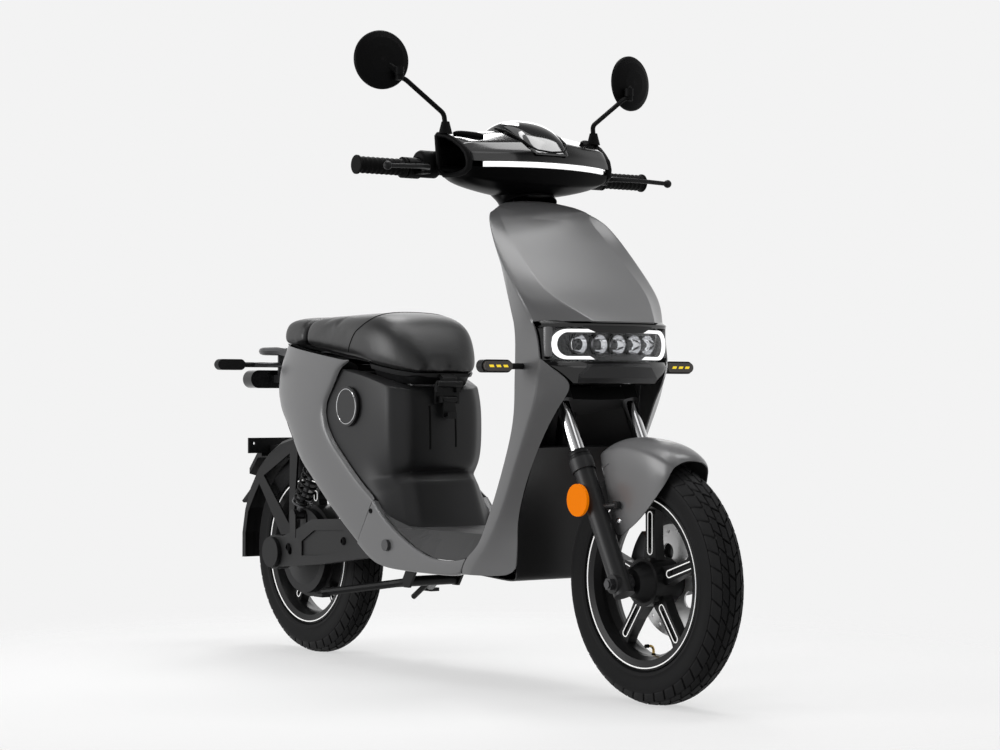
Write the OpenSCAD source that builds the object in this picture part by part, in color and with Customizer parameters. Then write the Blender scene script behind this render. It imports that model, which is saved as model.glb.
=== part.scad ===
// Moped scooter, electric step-through type, built at real size in millimetres.
// Frame: +X forward, +Y left, +Z up, origin on the ground under the middle of the length.

/* [Overall] */
// Distance between the two wheel axles
wheelbase = 1203; // [1190:1:1215]
// Reach of the number plate holder behind the rear axle
rear_overhang = 320; // [312:2:330]
// Width of the floor and side panels
body_w = 300; // [294:2:308]
// Height of the footboard above the ground
floor_z = 306; // [302:1:312]
// Height of the top of the seat
seat_z = 765; // [755:1:780]

/* [Wheels] */
// Rolling radius of both tyres, ground to axle
tyre_r = 232; // [230:0.5:234]
// Depth of the flat patch where a tyre stands on the ground
tyre_flat = 1.5; // [1:0.1:2]
// Section width of the tyres
tyre_w = 78; // [74:1:84]
// Radius of the rim flanges
rim_r = 166; // [163:0.5:168]
// Spoke count of both wheels
spoke_n = 5; // [4:1:6]
// Thickness of a spoke across the wheel
spoke_t = 22; // [18:1:26]
// Radius of the axles
axle_r = 7.5; // [7:0.1:8]
// Radius of the front brake disc
disc_r = 108; // [102:1:110]
// Radius of the hub motor drum
motor_r = 96; // [88:1:100]

/* [Fork and steering] */
// Angle of the steering axis from upright
rake = 28; // [27:0.25:29]
// Fork legs ahead of the steering axis
fork_offset = 27; // [25:1:29]
// Distance between the two fork legs
fork_gap = 164; // [162:1:170]
// Radius of the bright fork tubes
stanchion_r = 15; // [14:0.25:15.5]
// Radius of the black fork sliders
slider_r = 20; // [19.5:0.25:20.5]
// Travel of the front suspension
fork_travel = 55; // [40:1:58]
// Radius of the head tube
head_r = 25; // [24:0.5:26]
// Radius of the steering stem
stem_r = 13; // [12:0.25:14]

/* [Handlebar] */
// Overall width across the grip ends
bar_w = 726; // [710:2:740]
// Radius of the handlebar tube
bar_r = 11; // [10.5:0.25:11.5]
// Radius of the grips
grip_r = 17; // [16:0.25:18]
// Radius of the mirror heads
mirror_r = 58; // [50:1:60]
// Height of the mirror centres
mirror_z = 1247; // [1235:1:1260]
// Distance between the mirror centres
mirror_gap = 630; // [620:2:650]
// Radius of the mirror stems
mirror_stem_r = 5; // [4.5:0.25:5.5]

/* [Body panels] */
// Wall thickness of the painted panels
panel_t = 3; // [2.5:0.1:3.4]
// Wall thickness of the black covers
cover_t = 2.5; // [2.2:0.1:2.8]
// Half width of the shield at the headlight
shield_hw = 159; // [155:1:162]
// Radius of the round caps on the seat box
cap_r = 43; // [38:1:46]
// Rib count of the footboard mat
rib_n = 7; // [5:1:9]

/* [Seat] */
// Half width of the seat at its widest place
seat_hw = 134; // [128:1:138]
// Depth of the seam between the seat and the rear pad
seam_d = 9; // [6:0.5:11]
// Length of the battery pack
battery_l = 160; // [140:2:166]

/* [Fixing holes] */
// Radius of the bolt holes for a top case and a number plate
bolt_hole_r = 3.3; // [2.8:0.1:3.6]
// Distance between the two top case bolts
rack_bolts = 60; // [50:1:66]
// Distance between the two number plate bolts
plate_bolts = 130; // [110:1:140]

/* [Rear suspension] */
// Radius of the shock springs to the wire centre
spring_r = 19; // [18:0.25:20]
// Radius of the spring wire
wire_r = 3; // [2.5:0.1:3.4]
// Turns of each spring
coil_n = 8; // [7:1:9]
// Travel of the rear arm in degrees
arm_travel = 7; // [5:0.5:8]

/* [Hidden] */

// Running fit and the free gap between bodies
fit = 0.05;
gap = 0.4;

// Axle and body datums
tyre_out = tyre_r + tyre_flat;
fx = (wheelbase + rear_overhang - tyre_out) / 2;
rx = fx - wheelbase;
az = tyre_r;
hw = body_w / 2;
leg_y = fork_gap / 2;
sx = fx - fork_offset * cos(rake);
sz = az - fork_offset * sin(rake);

// Colours of the preview
paint = [0.36, 0.36, 0.37];
black = [0.07, 0.07, 0.075];
dark = [0.15, 0.15, 0.16];
steel = [0.75, 0.76, 0.78];

// Vector helpers
function unit(v) = v / norm(v);
function mix(a, b, t) = a + (b - a) * t;
function total(v) = [for (x = v) 1] * v;
function flat(v) = [for (row = v) each row];
function flip_y(p) = [p.x, -p.y, p.z];
function bez(a, b, c, t) = mix(mix(a, b, t), mix(b, c, t), t);
function steer_pt(n, y, s) = [sx + n * cos(rake) - s * sin(rake), y, sz + n * sin(rake) + s * cos(rake)];
// Height of a polyline of [x, z] points at x, the points running one way
function at_x(line, x) = lookup(x, line);
// Point at fraction t of a list of points
function along(line, t) = let (u = min(t, 0.99999) * (len(line) - 1), i = floor(u))
  mix(line[i], line[i + 1], u - i);

// One closed body from points and triangles, turned the right way out
module body(pts, tris) {
  v = total([for (f = tris) pts[f[0]] * cross(pts[f[1]], pts[f[2]])]);
  polyhedron(pts, v > 0 ? [for (f = tris) [f[2], f[1], f[0]]] : tris);
}

// Unit normal of a grid at a point
function grid_n(g, i, j) = let (m = len(g) - 1, n = len(g[0]) - 1,
  a = g[min(i + 1, m)][j] - g[max(i - 1, 0)][j], b = g[i][min(j + 1, n)] - g[i][max(j - 1, 0)])
  unit(cross(a, b));

// Thick sheet over a grid of points; cells outside the kept list of each row stay open
module sheet(g, t, keep = []) {
  m = len(g);
  n = len(g[0]);
  k = m * n;
  inner = [for (i = [0:m - 1]) [for (j = [0:n - 1]) g[i][j] + t * grid_n(g, i, j)]];
  on = [for (i = [0:m - 2]) [for (j = [0:n - 2])
    len(keep) == 0 || len([for (c = keep[i]) if (j >= c[0] && j < c[1]) 1]) > 0]];
  live = function (i, j) i >= 0 && j >= 0 && i < m - 1 && j < n - 1 && on[i][j];
  quad = function (a, b, c, d) [[a, b, c], [a, c, d]];
  tris = flat([for (i = [0:m - 2], j = [0:n - 2]) if (on[i][j])
    let (a = i * n + j, b = a + n, c = b + 1, d = a + 1)
    concat(quad(a, b, c, d), quad(d + k, c + k, b + k, a + k),
      live(i, j - 1) ? [] : quad(b, a, a + k, b + k),
      live(i, j + 1) ? [] : quad(d, c, c + k, d + k),
      live(i - 1, j) ? [] : quad(a, d, d + k, a + k),
      live(i + 1, j) ? [] : quad(c, b, b + k, c + k))]);
  body(concat(flat(g), flat(inner)), tris);
}

// Solid through closed rings of equal length, with flat ends
module loft(rings) {
  m = len(rings);
  n = len(rings[0]);
  pts = concat(flat(rings), [total(rings[0]) / n, total(rings[m - 1]) / n]);
  tris = concat(
    flat([for (i = [0:m - 2], j = [0:n - 1])
      let (a = i * n + j, b = i * n + (j + 1) % n, c = b + n, d = a + n) [[a, b, c], [a, c, d]]]),
    [for (j = [0:n - 1]) [m * n, (j + 1) % n, j]],
    [for (j = [0:n - 1]) [m * n + 1, (m - 1) * n + j, (m - 1) * n + (j + 1) % n]]);
  body(pts, tris);
}

// Round bar swept along a path, the ring turned about the reference direction
function ring_at(path, i, r, n, ref) = let (
  t = unit(path[min(i + 1, len(path) - 1)] - path[max(i - 1, 0)]),
  a = unit(cross(t, ref)), b = cross(a, t))
  [for (q = [0:n - 1]) path[i] + r * (cos(360 * q / n) * a + sin(360 * q / n) * b)];
module tube(path, r, n = 10, ref = [0, 0, 1]) {
  loft([for (i = [0:len(path) - 1]) ring_at(path, i, is_list(r) ? r[i] : r, n, ref)]);
}

// Path with its corners rounded by the given length
function soft_path(p, d, n = 4) = concat([p[0]],
  [for (i = [1:len(p) - 2], t = [0:n])
    bez(p[i] + d * unit(p[i - 1] - p[i]), p[i], p[i] + d * unit(p[i + 1] - p[i]), t / n)],
  [p[len(p) - 1]]);

// Straight round bar between two points
module rod(a, b, r, r2 = 0) {
  v = b - a;
  translate(a)
    rotate([0, acos(v.z / norm(v)), atan2(v.y, v.x)])
      cylinder(h = norm(v), r1 = r, r2 = r2 > 0 ? r2 : r, $fn = 40);
}

// Round bar along Y from y1 to y2
module ybar(x, y1, y2, z, r, fn = 48) {
  translate([x, y1, z])
    rotate([-90, 0, 0])
      cylinder(h = y2 - y1, r = r, $fn = fn);
}

// Plate of an XZ outline between two Y values
module yplate(y1, y2) {
  translate([0, y2, 0])
    rotate([90, 0, 0])
      linear_extrude(y2 - y1)
        children();
}

module both() {
  children();
  mirror([0, 1, 0])
    children();
}

module steer_frame() {
  translate([sx, 0, sz])
    rotate([0, -rake, 0])
      children();
}

// Full row of points from the right half of it; the last point lies on the middle plane
function whole(h) = concat(h, [for (i = [len(h) - 2:-1:0]) flip_y(h[i])]);
// Half row given without a point on the middle plane
function whole2(h) = concat(h, [for (i = [len(h) - 1:-1:0]) flip_y(h[i])]);

// Stations of the frame, the rear arm and the seat
pivot = [rx + 511, az + 41];
eye_low = [rx + 81, az + 88];
eye_top = [rx + 226, az + 321];
rail_y = hw - 40;
shock_y = hw - 43;
arm_y = hw - 43;
shock_l = norm(eye_top - eye_low);
shock_a = atan2(eye_top[0] - eye_low[0], eye_top[1] - eye_low[1]);
hinge = [rx + 521, 610];
stand = [rx + 455, 190];
// Cross tube of the frame at the front of the floor
toe_x = fx - 327;
toe_z = 282;
// Width of the battery shelf, and half length of its cross tube
shelf_w = 130;
shelf_y = mix(72, rail_y, 0.34) - 1;
bar_x = sx - 920 * sin(rake) + 10;
bar_z = sz + 920 * cos(rake);
grip_x = bar_x - 36;
grip_z = bar_z + 8;
axis_x = function (z) sx - (z - sz) * tan(rake);

// Frame of tubes with the head tube, the arm pivot and the brackets
module main_frame() {
  knee = [pivot[0] - 285, rail_y, pivot[1] + 318];
  tail = [knee.x - 108, rail_y - 6, 652];
  chest = [axis_x(650) + 4, 0, 650];
  toe = [toe_x, 0, toe_z];
  difference() {
    union() {
      steer_frame()
        translate([0, 0, 430])
          cylinder(h = 292, r = head_r, $fn = 64);
      rod(chest, toe, 18);
      ybar(toe.x, -74, 74, toe.z, 15);
      both() {
        rod([toe.x, 66, toe.z], [pivot[0], 66, pivot[1]], 13.5);
        rod([pivot[0], 72, pivot[1]], knee, 12.5);
        rod(knee, tail, 12);
        translate(knee)
          sphere(r = 13, $fn = 32);
        // Upper shock lugs under the rail
        yplate(shock_y - 17, shock_y - 13)
          lug_outline();
        yplate(shock_y + 13, shock_y + 17)
          lug_outline();
        ybar(eye_top[0], shock_y - 17, shock_y + 17, eye_top[1], 5);
        ybar(stand[0], 33, 66, stand[1], 6);
        // Bracket plates of the centre stand
        yplate(60, 66)
          polygon([[pivot[0] + 14, pivot[1] - 8], [pivot[0] - 16, pivot[1] + 4],
            [stand[0] - 15, stand[1] + 4], [stand[0] - 10, stand[1] - 13], [stand[0] + 10, stand[1] - 13]]);
      }
      ybar(pivot[0], -(hw - 58 - gap), hw - 58 - gap, pivot[1], 17);
      ybar(knee.x + 4, -rail_y, rail_y, knee.z - 2, 10);
      ybar(tail.x + 10, -rail_y, rail_y, tail.z - 5, 9);
      // Battery shelf on a cross tube between the rails
      ybar(pivot[0] - 97, -shelf_y, shelf_y, 381, 8);
      translate([pivot[0] - 188, -shelf_w / 2, 386])
        cube([120, shelf_w, 5]);
    }
    steer_frame()
      translate([0, 0, 425])
        cylinder(h = 300, r = head_r - 4, $fn = 64);
    ybar(pivot[0], -hw, hw, pivot[1], 8 + fit);
  }
}

module lug_outline() {
  translate(eye_top)
    circle(r = 12, $fn = 40);
  translate([eye_top[0] - 9, eye_top[1]])
    square([18, 32]);
}

module head_bearings() {
  steer_frame()
    for (s = [426, 712])
      translate([0, 0, s])
        difference() {
          cylinder(h = 14, r = head_r - 4 - fit, $fn = 64);
          translate([0, 0, -1])
            cylinder(h = 16, r = stem_r + fit, $fn = 64);
        }
}

// Rows of the shield: height, rear edge x and half width, shoulder, crease, middle x
hood = [
  [949, -378, 112, -352, 130, -357, 109, -332],
  [935, -362, 122, -329, 137, -342, 111, -317],
  [900, -331, 137, -294, 143, -304, 115, -281],
  [850, -296, 147, -247, 150, -251, 119, -229],
  [785, -260, 156, -188, 158, -181, 125, -161],
  [748, -244, 158, -170, 159, -122, 92, -112],
  [727, -236, 158, -161, 159, -91, 75, -86]];
// Rows of the wings beside the headlight and the wheel: height, rear edge, crease, front edge
wing = [
  [700, -230, 158, -159, 159, -97, 75],
  [655, -231, 158, -152, 159, -149, 156],
  [640, -233, 157, -154, 158, -137, 148],
  [607, -236, 156, -162, 157, -105, 109],
  [576, -237, 155, -169, 156, -136, 115],
  [522, -245, 153, -200, 155, -174, 125],
  [440, -282, 151, -243, 154, -222, 130],
  [378, -313, 150, -275, 152, -252, 128],
  [338, -335, 150, -300, 151, -267, 126],
  [300, -356, 150, -327, 151, -270, 125],
  [276, -381, 150, -347, 150, -271, 125],
  [260, -410, 150, -369, 150, -273, 124],
  [228, -426, 150, -393, 150, -281, 124]];
// Half widths follow the headlight width at the top and the floor width at the bottom
function wing_y(y, z) = y + mix(hw - 150, shield_hw - 159, min(1, max(0, (z - 260) / 400)));
function hood_row(r) = let (rear = [fx + r[1], -wing_y(r[2], r[0]), r[0]],
  side = [fx + r[3], -wing_y(r[4], r[0]), r[0]])
  whole([rear, mix(rear, side, 0.55) - [0, 2, 0], side, [fx + r[5], -r[6], r[0]],
    [fx + mix(r[5], r[7], 0.75), -r[6] / 2, r[0]], [fx + r[7], 0, r[0]]]);
function wing_row(r, open) = let (rear = [fx + r[1], -wing_y(r[2], r[0]), r[0]],
  side = [fx + r[3], -wing_y(r[4], r[0]), r[0]], edge = [fx + r[5], -r[6], r[0]])
  whole([rear, mix(rear, side, 0.55) - [0, 1, 0], side, edge,
    open ? [edge.x + 4, -38, r[0]] : edge + 0.2 * (edge - side),
    open ? [edge.x + 6, 0, r[0]] : edge + 0.4 * (edge - side)]);
// Height of the shield top along the steering axis
cap_s = 837;
function cap_row(n, y, a) = whole([for (q = a) steer_pt(n * cos(q), -y * sin(q), cap_s)]);

module front_shield() {
  rows = concat([cap_row(24, 24, [150, 120, 92, 62, 30, 0]), cap_row(40, 74, [142, 118, 96, 62, 30, 0])],
    [for (r = hood) hood_row(r)], [for (i = [0:len(wing) - 1]) wing_row(wing[i], i == 0)]);
  all_cells = [[0, 10]];
  side_cells = [[0, 2], [8, 10]];
  wing_cells = [[0, 3], [7, 10]];
  color(paint)
    sheet(rows, -panel_t, concat([for (i = [0:7]) all_cells], [side_cells, side_cells],
      [for (i = [0:len(wing) - 3]) wing_cells]));
}

module wheel_well_panel() {
  // Height, edge x, edge half width, middle x
  well = [[484, -209, 121, -250], [430, -233, 122, -256], [378, -259, 121, -266],
    [338, -273, 119, -275], [290, -277, 118, -278], [246, -281, 117, -282]];
  top = [[486, -235, 117, -262]];
  belly = [for (x = [fx - 303, fx - 533, pivot[0] + 40])
    whole([for (y = [117, 98, 60, 0]) [x, -y, 234 - 2 * (1 - y / 117)]])];
  rows = concat([for (r = concat(top, well)) whole([for (k = [1, 0.84, 0.5, 0])
    [fx + mix(r[3], r[1], k * k), -r[2] * k, r[0]]])], belly);
  color(dark) {
    sheet(rows, -cover_t);
    both()
      rod([toe_x + 15 + gap, 40, toe_z], [fx - 279, 40, toe_z], 7);
  }
}

module inner_leg_panel() {
  // Height, edge x, edge half width, middle x
  leg = [[940, -374, 100, -443], [935, -358, 112, -438], [900, -325, 127, -420], [850, -290, 138, -391],
    [785, -254, 147, -361], [727, -230, 149, -331], [655, -226, 149, -302], [576, -231, 146, -310],
    [522, -240, 144, -322], [440, -277, 142, -342], [378, -308, 141, -356], [338, -330, 141, -365],
    [floor_z + 14, -345, 141, -369]];
  color(black)
    sheet([for (r = leg) whole([for (k = [1, 0.86, 0.6, 0.3, 0])
      [fx + mix(r[3], r[1], k * k), -wing_y(r[2], r[0]) * k, r[0]]])], cover_t);
}

// Upper edge of the floor band
band_top = [[rx + 453, 365], [rx + 480, 337], [rx + 531, 305], [rx + 581, 282], [rx + 621, 267],
  [fx - 530, 253], [fx - 492, 252], [fx - 448, 253], [fx - 412, 260]];
band_low = [[rx + 392, 268], [rx + 436, 240], [rx + 480, 224], [rx + 560, 221], [rx + 621, 220],
  [fx - 530, 220], [fx - 492, 220], [fx - 448, 221], [fx - 428, 228]];

module floor_rails() {
  rows = [for (i = [0:len(band_top) - 1]) let (a = band_top[i], b = band_low[i])
    [[a[0], -(hw - 10), a[1] - 1], [a[0], -(hw - 2), a[1]], [a[0], -hw, a[1] - 3],
      [mix(a[0], b[0], 0.5), -hw - 1, mix(a[1], b[1], 0.5)], [b[0], -hw, b[1] + 4],
      [b[0], -(hw - 6), b[1]], [b[0], -(hw - 28), b[1] + 2]]];
  color(paint)
    both()
      difference() {
        sheet(rows, panel_t);
        ybar(pivot[0], -hw - 10, -hw + 30, pivot[1], 12 + gap, 40);
      }
}

module footboard() {
  edge = hw - 38;
  out = hw - 9.9;
  xs = [rx + 531, rx + 581, rx + 621, fx - 530, fx - 492, fx - 448, fx - 412];
  back = [[rx + 484, -out, 336], [rx + 524, -edge, floor_z + 4], [rx + 546, -edge + 26, floor_z + 1],
    [rx + 550, 0, floor_z]];
  front = [[fx - 387, -out, 277], [fx - 373, -edge, floor_z + 2], [fx - 369, -edge + 26, floor_z + 1],
    [fx - 369, 0, floor_z]];
  mid = [for (x = xs) let (k = (x - xs[0]) / (xs[len(xs) - 1] - xs[0]),
    x2 = mix(rx + 564, fx - 387, k)) [[x, -out, at_x(band_top, x)], [x2, -edge, floor_z],
    [x2, -edge + 26, floor_z + 1], [x2, 0, floor_z]]];
  color(black) {
    sheet([for (r = concat([back], mid, [front])) whole(r)], cover_t);
    for (i = [0:rib_n - 1])
      let (x = mix(rx + 580, fx - 398, i / (rib_n - 1)))
        translate([x - 5, -edge + 34, floor_z - 1])
          cube([10, 2 * edge - 68, 4]);
  }
}

// Edges of the rear side covers, from the floor band up to the tail
cover_front = [[rx + 453, 367], [rx + 386, 408], [rx + 290, 485], [rx + 262, 519], [rx + 253, 548],
  [rx + 257, 573], [rx + 285, 608], [rx + 313, 645], [rx + 351, 659]];
cover_rear = [[rx + 389, 269], [rx + 336, 303], [rx + 275, 345], [rx + 207, 396], [rx + 142, 442],
  [rx + 83, 512], [rx + 34, 553], [rx + 10, 594], [rx + 13, 625], [rx + 33, 660], [rx + 56, 688]];

module side_cover() {
  // Drop of the rear edge towards the middle and the reach of the rear lip, bottom to top
  tuck = [0, 0, 1, 3, 7, 14, 24, 32, 36, 36, 34];
  lip = [hw - 14, hw - 14, hw - 14, hw - 15, hw - 20, 92, 46, 2, 2, 102, 104];
  n = 14;
  rows = [for (i = [0:n]) let (t = i / n, f = along(cover_front, t), r = along(cover_rear, t),
    q = along([for (v = tuck) [v, 0]], t)[0], l = along([for (v = lip) [v, 0]], t)[0],
    at = function (k, y) let (p = mix(r, f, k)) [p[0], -y, p[1]],
    swell = 5 * sin(180 * min(1, 1.4 * t)))
    [[r[0] + (hw - q - l) * 0.12, -l, r[1] + 3], at(0.03, hw - q - 3), at(0.08, hw - q * 0.6 + swell * 0.2),
      at(0.3, hw - q * 0.18 + swell * 0.8), at(0.6, hw + swell), at(0.9, hw + swell * 0.4),
      at(0.98, hw - 2), at(1, hw - 9)]];
  color(paint)
    sheet(rows, -panel_t);
}

module side_cover_right() {
  side_cover();
}

module side_cover_left() {
  mirror([0, 1, 0])
    side_cover();
}

module seat_box() {
  // Points of the right half: rear edge, side, corner, front corner, middle
  b = hw - 150;
  rows = [
    [[312, 106, 642], [388, 102, 632], [452, 92, 614], [478, 70, 606], [484, 0, 604]],
    [[308, 134, 642], [391, 132, 629], [462, 116, 604], [492, 80, 598], [502, 0, 596]],
    [[246, 138, 566], [371, 139, 566], [468, 122, 566], [500, 84, 568], [510, 0, 568]],
    [[246, 138, 534], [371, 139, 520], [470, 122, 510], [500, 84, 505], [510, 0, 505]],
    [[278, 138, 480], [381, 139, 460], [470, 119, 448], [497, 82, 440], [505, 0, 438]],
    [[378, 138, 400], [421, 135, 408], [468, 110, 416], [483, 76, 424], [487, 0, 424]],
    [[421, 138, 376], [456, 133, 384], [499, 106, 396], [511, 80, 404], [513, 0, 404]],
    [[449, 138, 360], [485, 134, 345], [528, 112, 322], [543, 86, 316], [546, 0, 316]]];
  color(black)
    sheet([for (r = rows) whole([for (p = r) [rx + p[0], p[1] == 0 ? 0 : -p[1] - b, p[2]]])], -cover_t);
}

module side_caps() {
  color(dark)
    both()
      ybar(rx + 340, -(hw - 5.5), -(hw - 10.4), 562, cap_r, 72);
}

module battery() {
  color(dark) {
    translate([pivot[0] - 30 - battery_l, -72, 391 + gap])
      cube([battery_l, 144, 196]);
    translate([pivot[0] - 40 - battery_l / 2, -45, 582])
      cube([18, 90, 22]);
  }
}

module seat_hinge_bracket() {
  color(dark) {
    both()
      ybar(hinge[0], 19, 31, hinge[1], 7, 32);
    ybar(hinge[0], -33, 33, hinge[1], 3, 32);
    translate([rx + 510 + gap, -31, 568])
      cube([3, 62, 34]);
    both() {
      translate([rx + 510 + gap, 19, 592])
        cube([10, 12, 18]);
      translate([rx + 510 + gap, 17.5, 570])
        cube([14, 5, 14]);
    }
    ybar(rx + 520, -20, 20, 577, 3, 32);
  }
}

// Plan curve of the headlight face
function lamp_x(y) = fx - 102 - 36 * pow(y / 138, 2);

module headlight_housing() {
  ys = [shield_hw - 4.4, 148, 128, 100, 66, 32, 0];
  // Height, set back of the face from the lens curve, share of the half width
  face = [[722.6, -6, 1], [716, -4, 1], [714, 18, 1], [652, 18, 1], [650, -2, 1], [641, -7, 0.92]];
  chin = [[628, -9, 0.81], [608, -3, 0.66], [605, 16, 0.64]];
  rows = [for (f = concat(face, chin)) whole([for (y = ys)
    [lamp_x(min(y * f[2], 138)) - f[1] - (y * f[2] > 138 ? 1.1 * (y * f[2] - 138) : 0), -y * f[2], f[0]]])];
  color(black) {
    sheet(rows, -cover_t);
    for (y = [-84, -42, 0, 42, 84])
      translate([lamp_x(y) - 20, y, 683])
        rotate([0, 90, 0])
          cylinder(h = 6, r = 16, $fn = 36);
  }
}

module headlight_lens() {
  ys = [141, 138, 122, 96, 64, 32, 0];
  rise = [18, 25, 31.4, 31.4, 31.4, 31.4, 31.4];
  rows = [for (k = [1, 0.5, 0, -0.5, -1]) whole([for (i = [0:6])
    [lamp_x(ys[i]) - 3 - 2 * abs(k), -ys[i], 683 + k * rise[i]]])];
  color([0.5, 0.55, 0.6, 0.4])
    sheet(rows, -2);
}

// Two bright U shapes, one round each end of the lens
module headlight_ring() {
  h = 23;
  line = concat([[58, h], [90, h], [112, h]], [for (a = [70:-20:-70]) [112 + 22 * cos(a), h * sin(a)]],
    [[112, -h], [90, -h], [58, -h]]);
  path = [for (p = line) [lamp_x(p[0]) + 1, -p[0], 683 + p[1]]];
  color([0.95, 0.97, 1])
    both()
      tube(path, 3.2, 6, [1, 0, 0]);
}

// Shape of one indicator lying along Y
module lamp_pod(x, y1, y2, z, r, d) {
  translate([x - d / 2, 0, 0])
    rotate([90, 0, 90])
      linear_extrude(d) {
        translate([y1 + r, z])
          circle(r = r, $fn = 40);
        translate([y2 - r, z])
          circle(r = r, $fn = 40);
        translate([y1 + r, z - r])
          square([y2 - y1 - 2 * r, 2 * r]);
      }
}

module indicator_bodies() {
  color(black)
    both() {
      lamp_pod(fx - 206, 190, 262, 641, 12.5, 18);
      ybar(fx - 206, wing_y(157, 641) + 2, 195, 641, 6, 28);
      lamp_pod(rx - 140, 120, 192, 657, 12.5, 18);
      ybar(rx - 140, 94, 125, 657, 6, 28);
    }
}

module indicator_lenses() {
  color([0.75, 0.5, 0.1])
    both() {
      lamp_pod(fx - 193.5, 193, 259, 641, 9.5, 6);
      lamp_pod(rx - 152.5, 123, 189, 657, 9.5, 6);
    }
}

module rear_rack() {
  y = 84;
  bolt_x = rx - 108;
  z = 688;
  low = 676;
  half = [[rx + 130, -y, low], [rx + 26, -y, low], [rx - 44, -y, z], [rx - 120, -y, z], [rx - 162, -y + 34, z]];
  path = soft_path(whole2(half), 18);
  color(dark) {
    tube(path, 8.5, 8);
    ybar(rx + 60, -y, y, low, 7, 28);
    ybar(rx - 60, -y, y, z, 7, 28);
    // Spine that carries the tail light and the indicator bar
    difference() {
      translate([rx - 158, -24, z - 4])
        cube([100, 48, 5]);
      for (x = [-rack_bolts / 2, rack_bolts / 2])
        translate([bolt_x + x, 0, z - 10])
          cylinder(h = 20, r = bolt_hole_r, $fn = 32);
    }
    translate([rx - 148, -24, 630])
      cube([5, 48, z - 628]);
    translate([rx - 166, -24, 616])
      cube([23, 48, 18]);
    ybar(rx - 140, -93.5, 93.5, 657, 6, 28);
    both()
      translate([rx + 128, y, 656 + gap])
        cylinder(h = 14, r = 6, $fn = 28);
  }
}

module tail_light() {
  color(black)
    lamp_pod(rx - 185 - gap, -85, 85, 624, 21, 38);
}

module tail_lens() {
  color([0.6, 0.05, 0.05])
    lamp_pod(rx - 207.5 - 2 * gap, -78, 78, 624, 15, 7);
}

module swingarm_bolt() {
  color(steel) {
    ybar(pivot[0], -hw - 2, hw + 2, pivot[1], 8);
    both()
      ybar(pivot[0], -hw - 8, -hw + 1, pivot[1], 12, 40);
  }
}

module centre_stand() {
  foot = [stand[0] - 214, 142, stand[1] - 34];
  leg = soft_path([[stand[0] - 2, 40, stand[1]], [stand[0] - 60, 48, stand[1] - 8], foot], 30);
  color(black)
    difference() {
      union() {
        ybar(stand[0], -59 + gap, 59 - gap, stand[1], 11);
        both() {
          tube(leg, 9, 10);
          translate(foot - [16, 10, 9])
            cube([34, 22, 8]);
        }
        rod([stand[0] - 4, 0, stand[1]], [stand[0] - 70, 0, stand[1] - 40], 6);
        ybar(stand[0] - 110, -66, 66, stand[1] - 15.5, 6, 28);
      }
      ybar(stand[0], -60, -30, stand[1], 6 + fit, 32);
      ybar(stand[0], 30, 60, stand[1], 6 + fit, 32);
    }
}

// Rows of the seat: x from the rear axle, half width share, bottom, drop of the top below seat height
seat_rows = [[529, 0.5, 633, 118], [524, 0.7, 629, 104], [510, 0.8, 630, 80], [492, 0.88, 633, 50],
  [466, 0.95, 637, 22], [430, 0.99, 643, 7], [390, 1, 650, 1], [351, 0.97, 660, 0], [261, 0.91, 673, 1], [171, 0.84, 688, 3],
  [101, 0.78, 697, 4], [70, 0.74, 701, 3], [63, 0, 704, 0], [56, 0.72, 703, -1], [26, 0.68, 705, -1],
  [-6, 0.6, 707, 4], [-20, 0.5, 712, 14]];

// Closed ring of a cross section in Y and Z from its right half
function half_ring(x, h) = concat([for (p = h) [x, p[0], p[1]]],
  [for (i = [len(h) - 2:-1:1]) [x, -h[i][0], h[i][1]]]);

function seat_half(r) = let (groove = r[1] == 0, w = groove ? 0.73 * seat_hw - seam_d : r[1] * seat_hw,
  b = r[2], h = seat_z - r[3] - (groove ? seam_d : 0) - b)
  [for (p = [[0, 0], [-0.6, 0], [-0.9, 0.02], [-0.99, 0.12], [-1, 0.3], [-0.96, 0.6], [-0.87, 0.82],
    [-0.66, 0.95], [-0.34, 0.99], [0, 1]]) [p[0] * w, b + p[1] * h]];

module seat_cushion() {
  color(black)
    loft([for (r = seat_rows) half_ring(rx + r[0], seat_half(r))]);
}

module seat_base() {
  keep = [for (i = [1:len(seat_rows) - 2]) if (seat_rows[i][1] > 0) seat_rows[i]];
  color(dark)
    difference() {
      union() {
        loft([for (r = keep) let (w = r[1] * seat_hw * 0.86)
          half_ring(rx + r[0], [[0, r[2] - 7], [-w, r[2] - 7], [-w - 3, r[2] - gap], [0, r[2] - gap]])]);
        ybar(hinge[0], -18.6, 18.6, hinge[1], 7, 32);
        translate([hinge[0] - 3, -18, hinge[1]])
          cube([6, 36, 15]);
      }
      ybar(hinge[0], -40, 40, hinge[1], 3 + fit, 32);
    }
}

// Fold-down bag hook on the front of the seat box
module bag_hook() {
  x = rx + 520;
  color(dark)
    difference() {
      union() {
        ybar(x, -17, 17, 577, 6, 32);
        translate([x - 2, -15, 540])
          cube([4, 30, 38]);
        translate([x - 2, -10, 536])
          cube([16, 20, 5]);
        translate([x + 10, -10, 536])
          cube([4, 20, 14]);
      }
      ybar(x, -20, 20, 577, 3 + fit, 32);
    }
}

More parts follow.
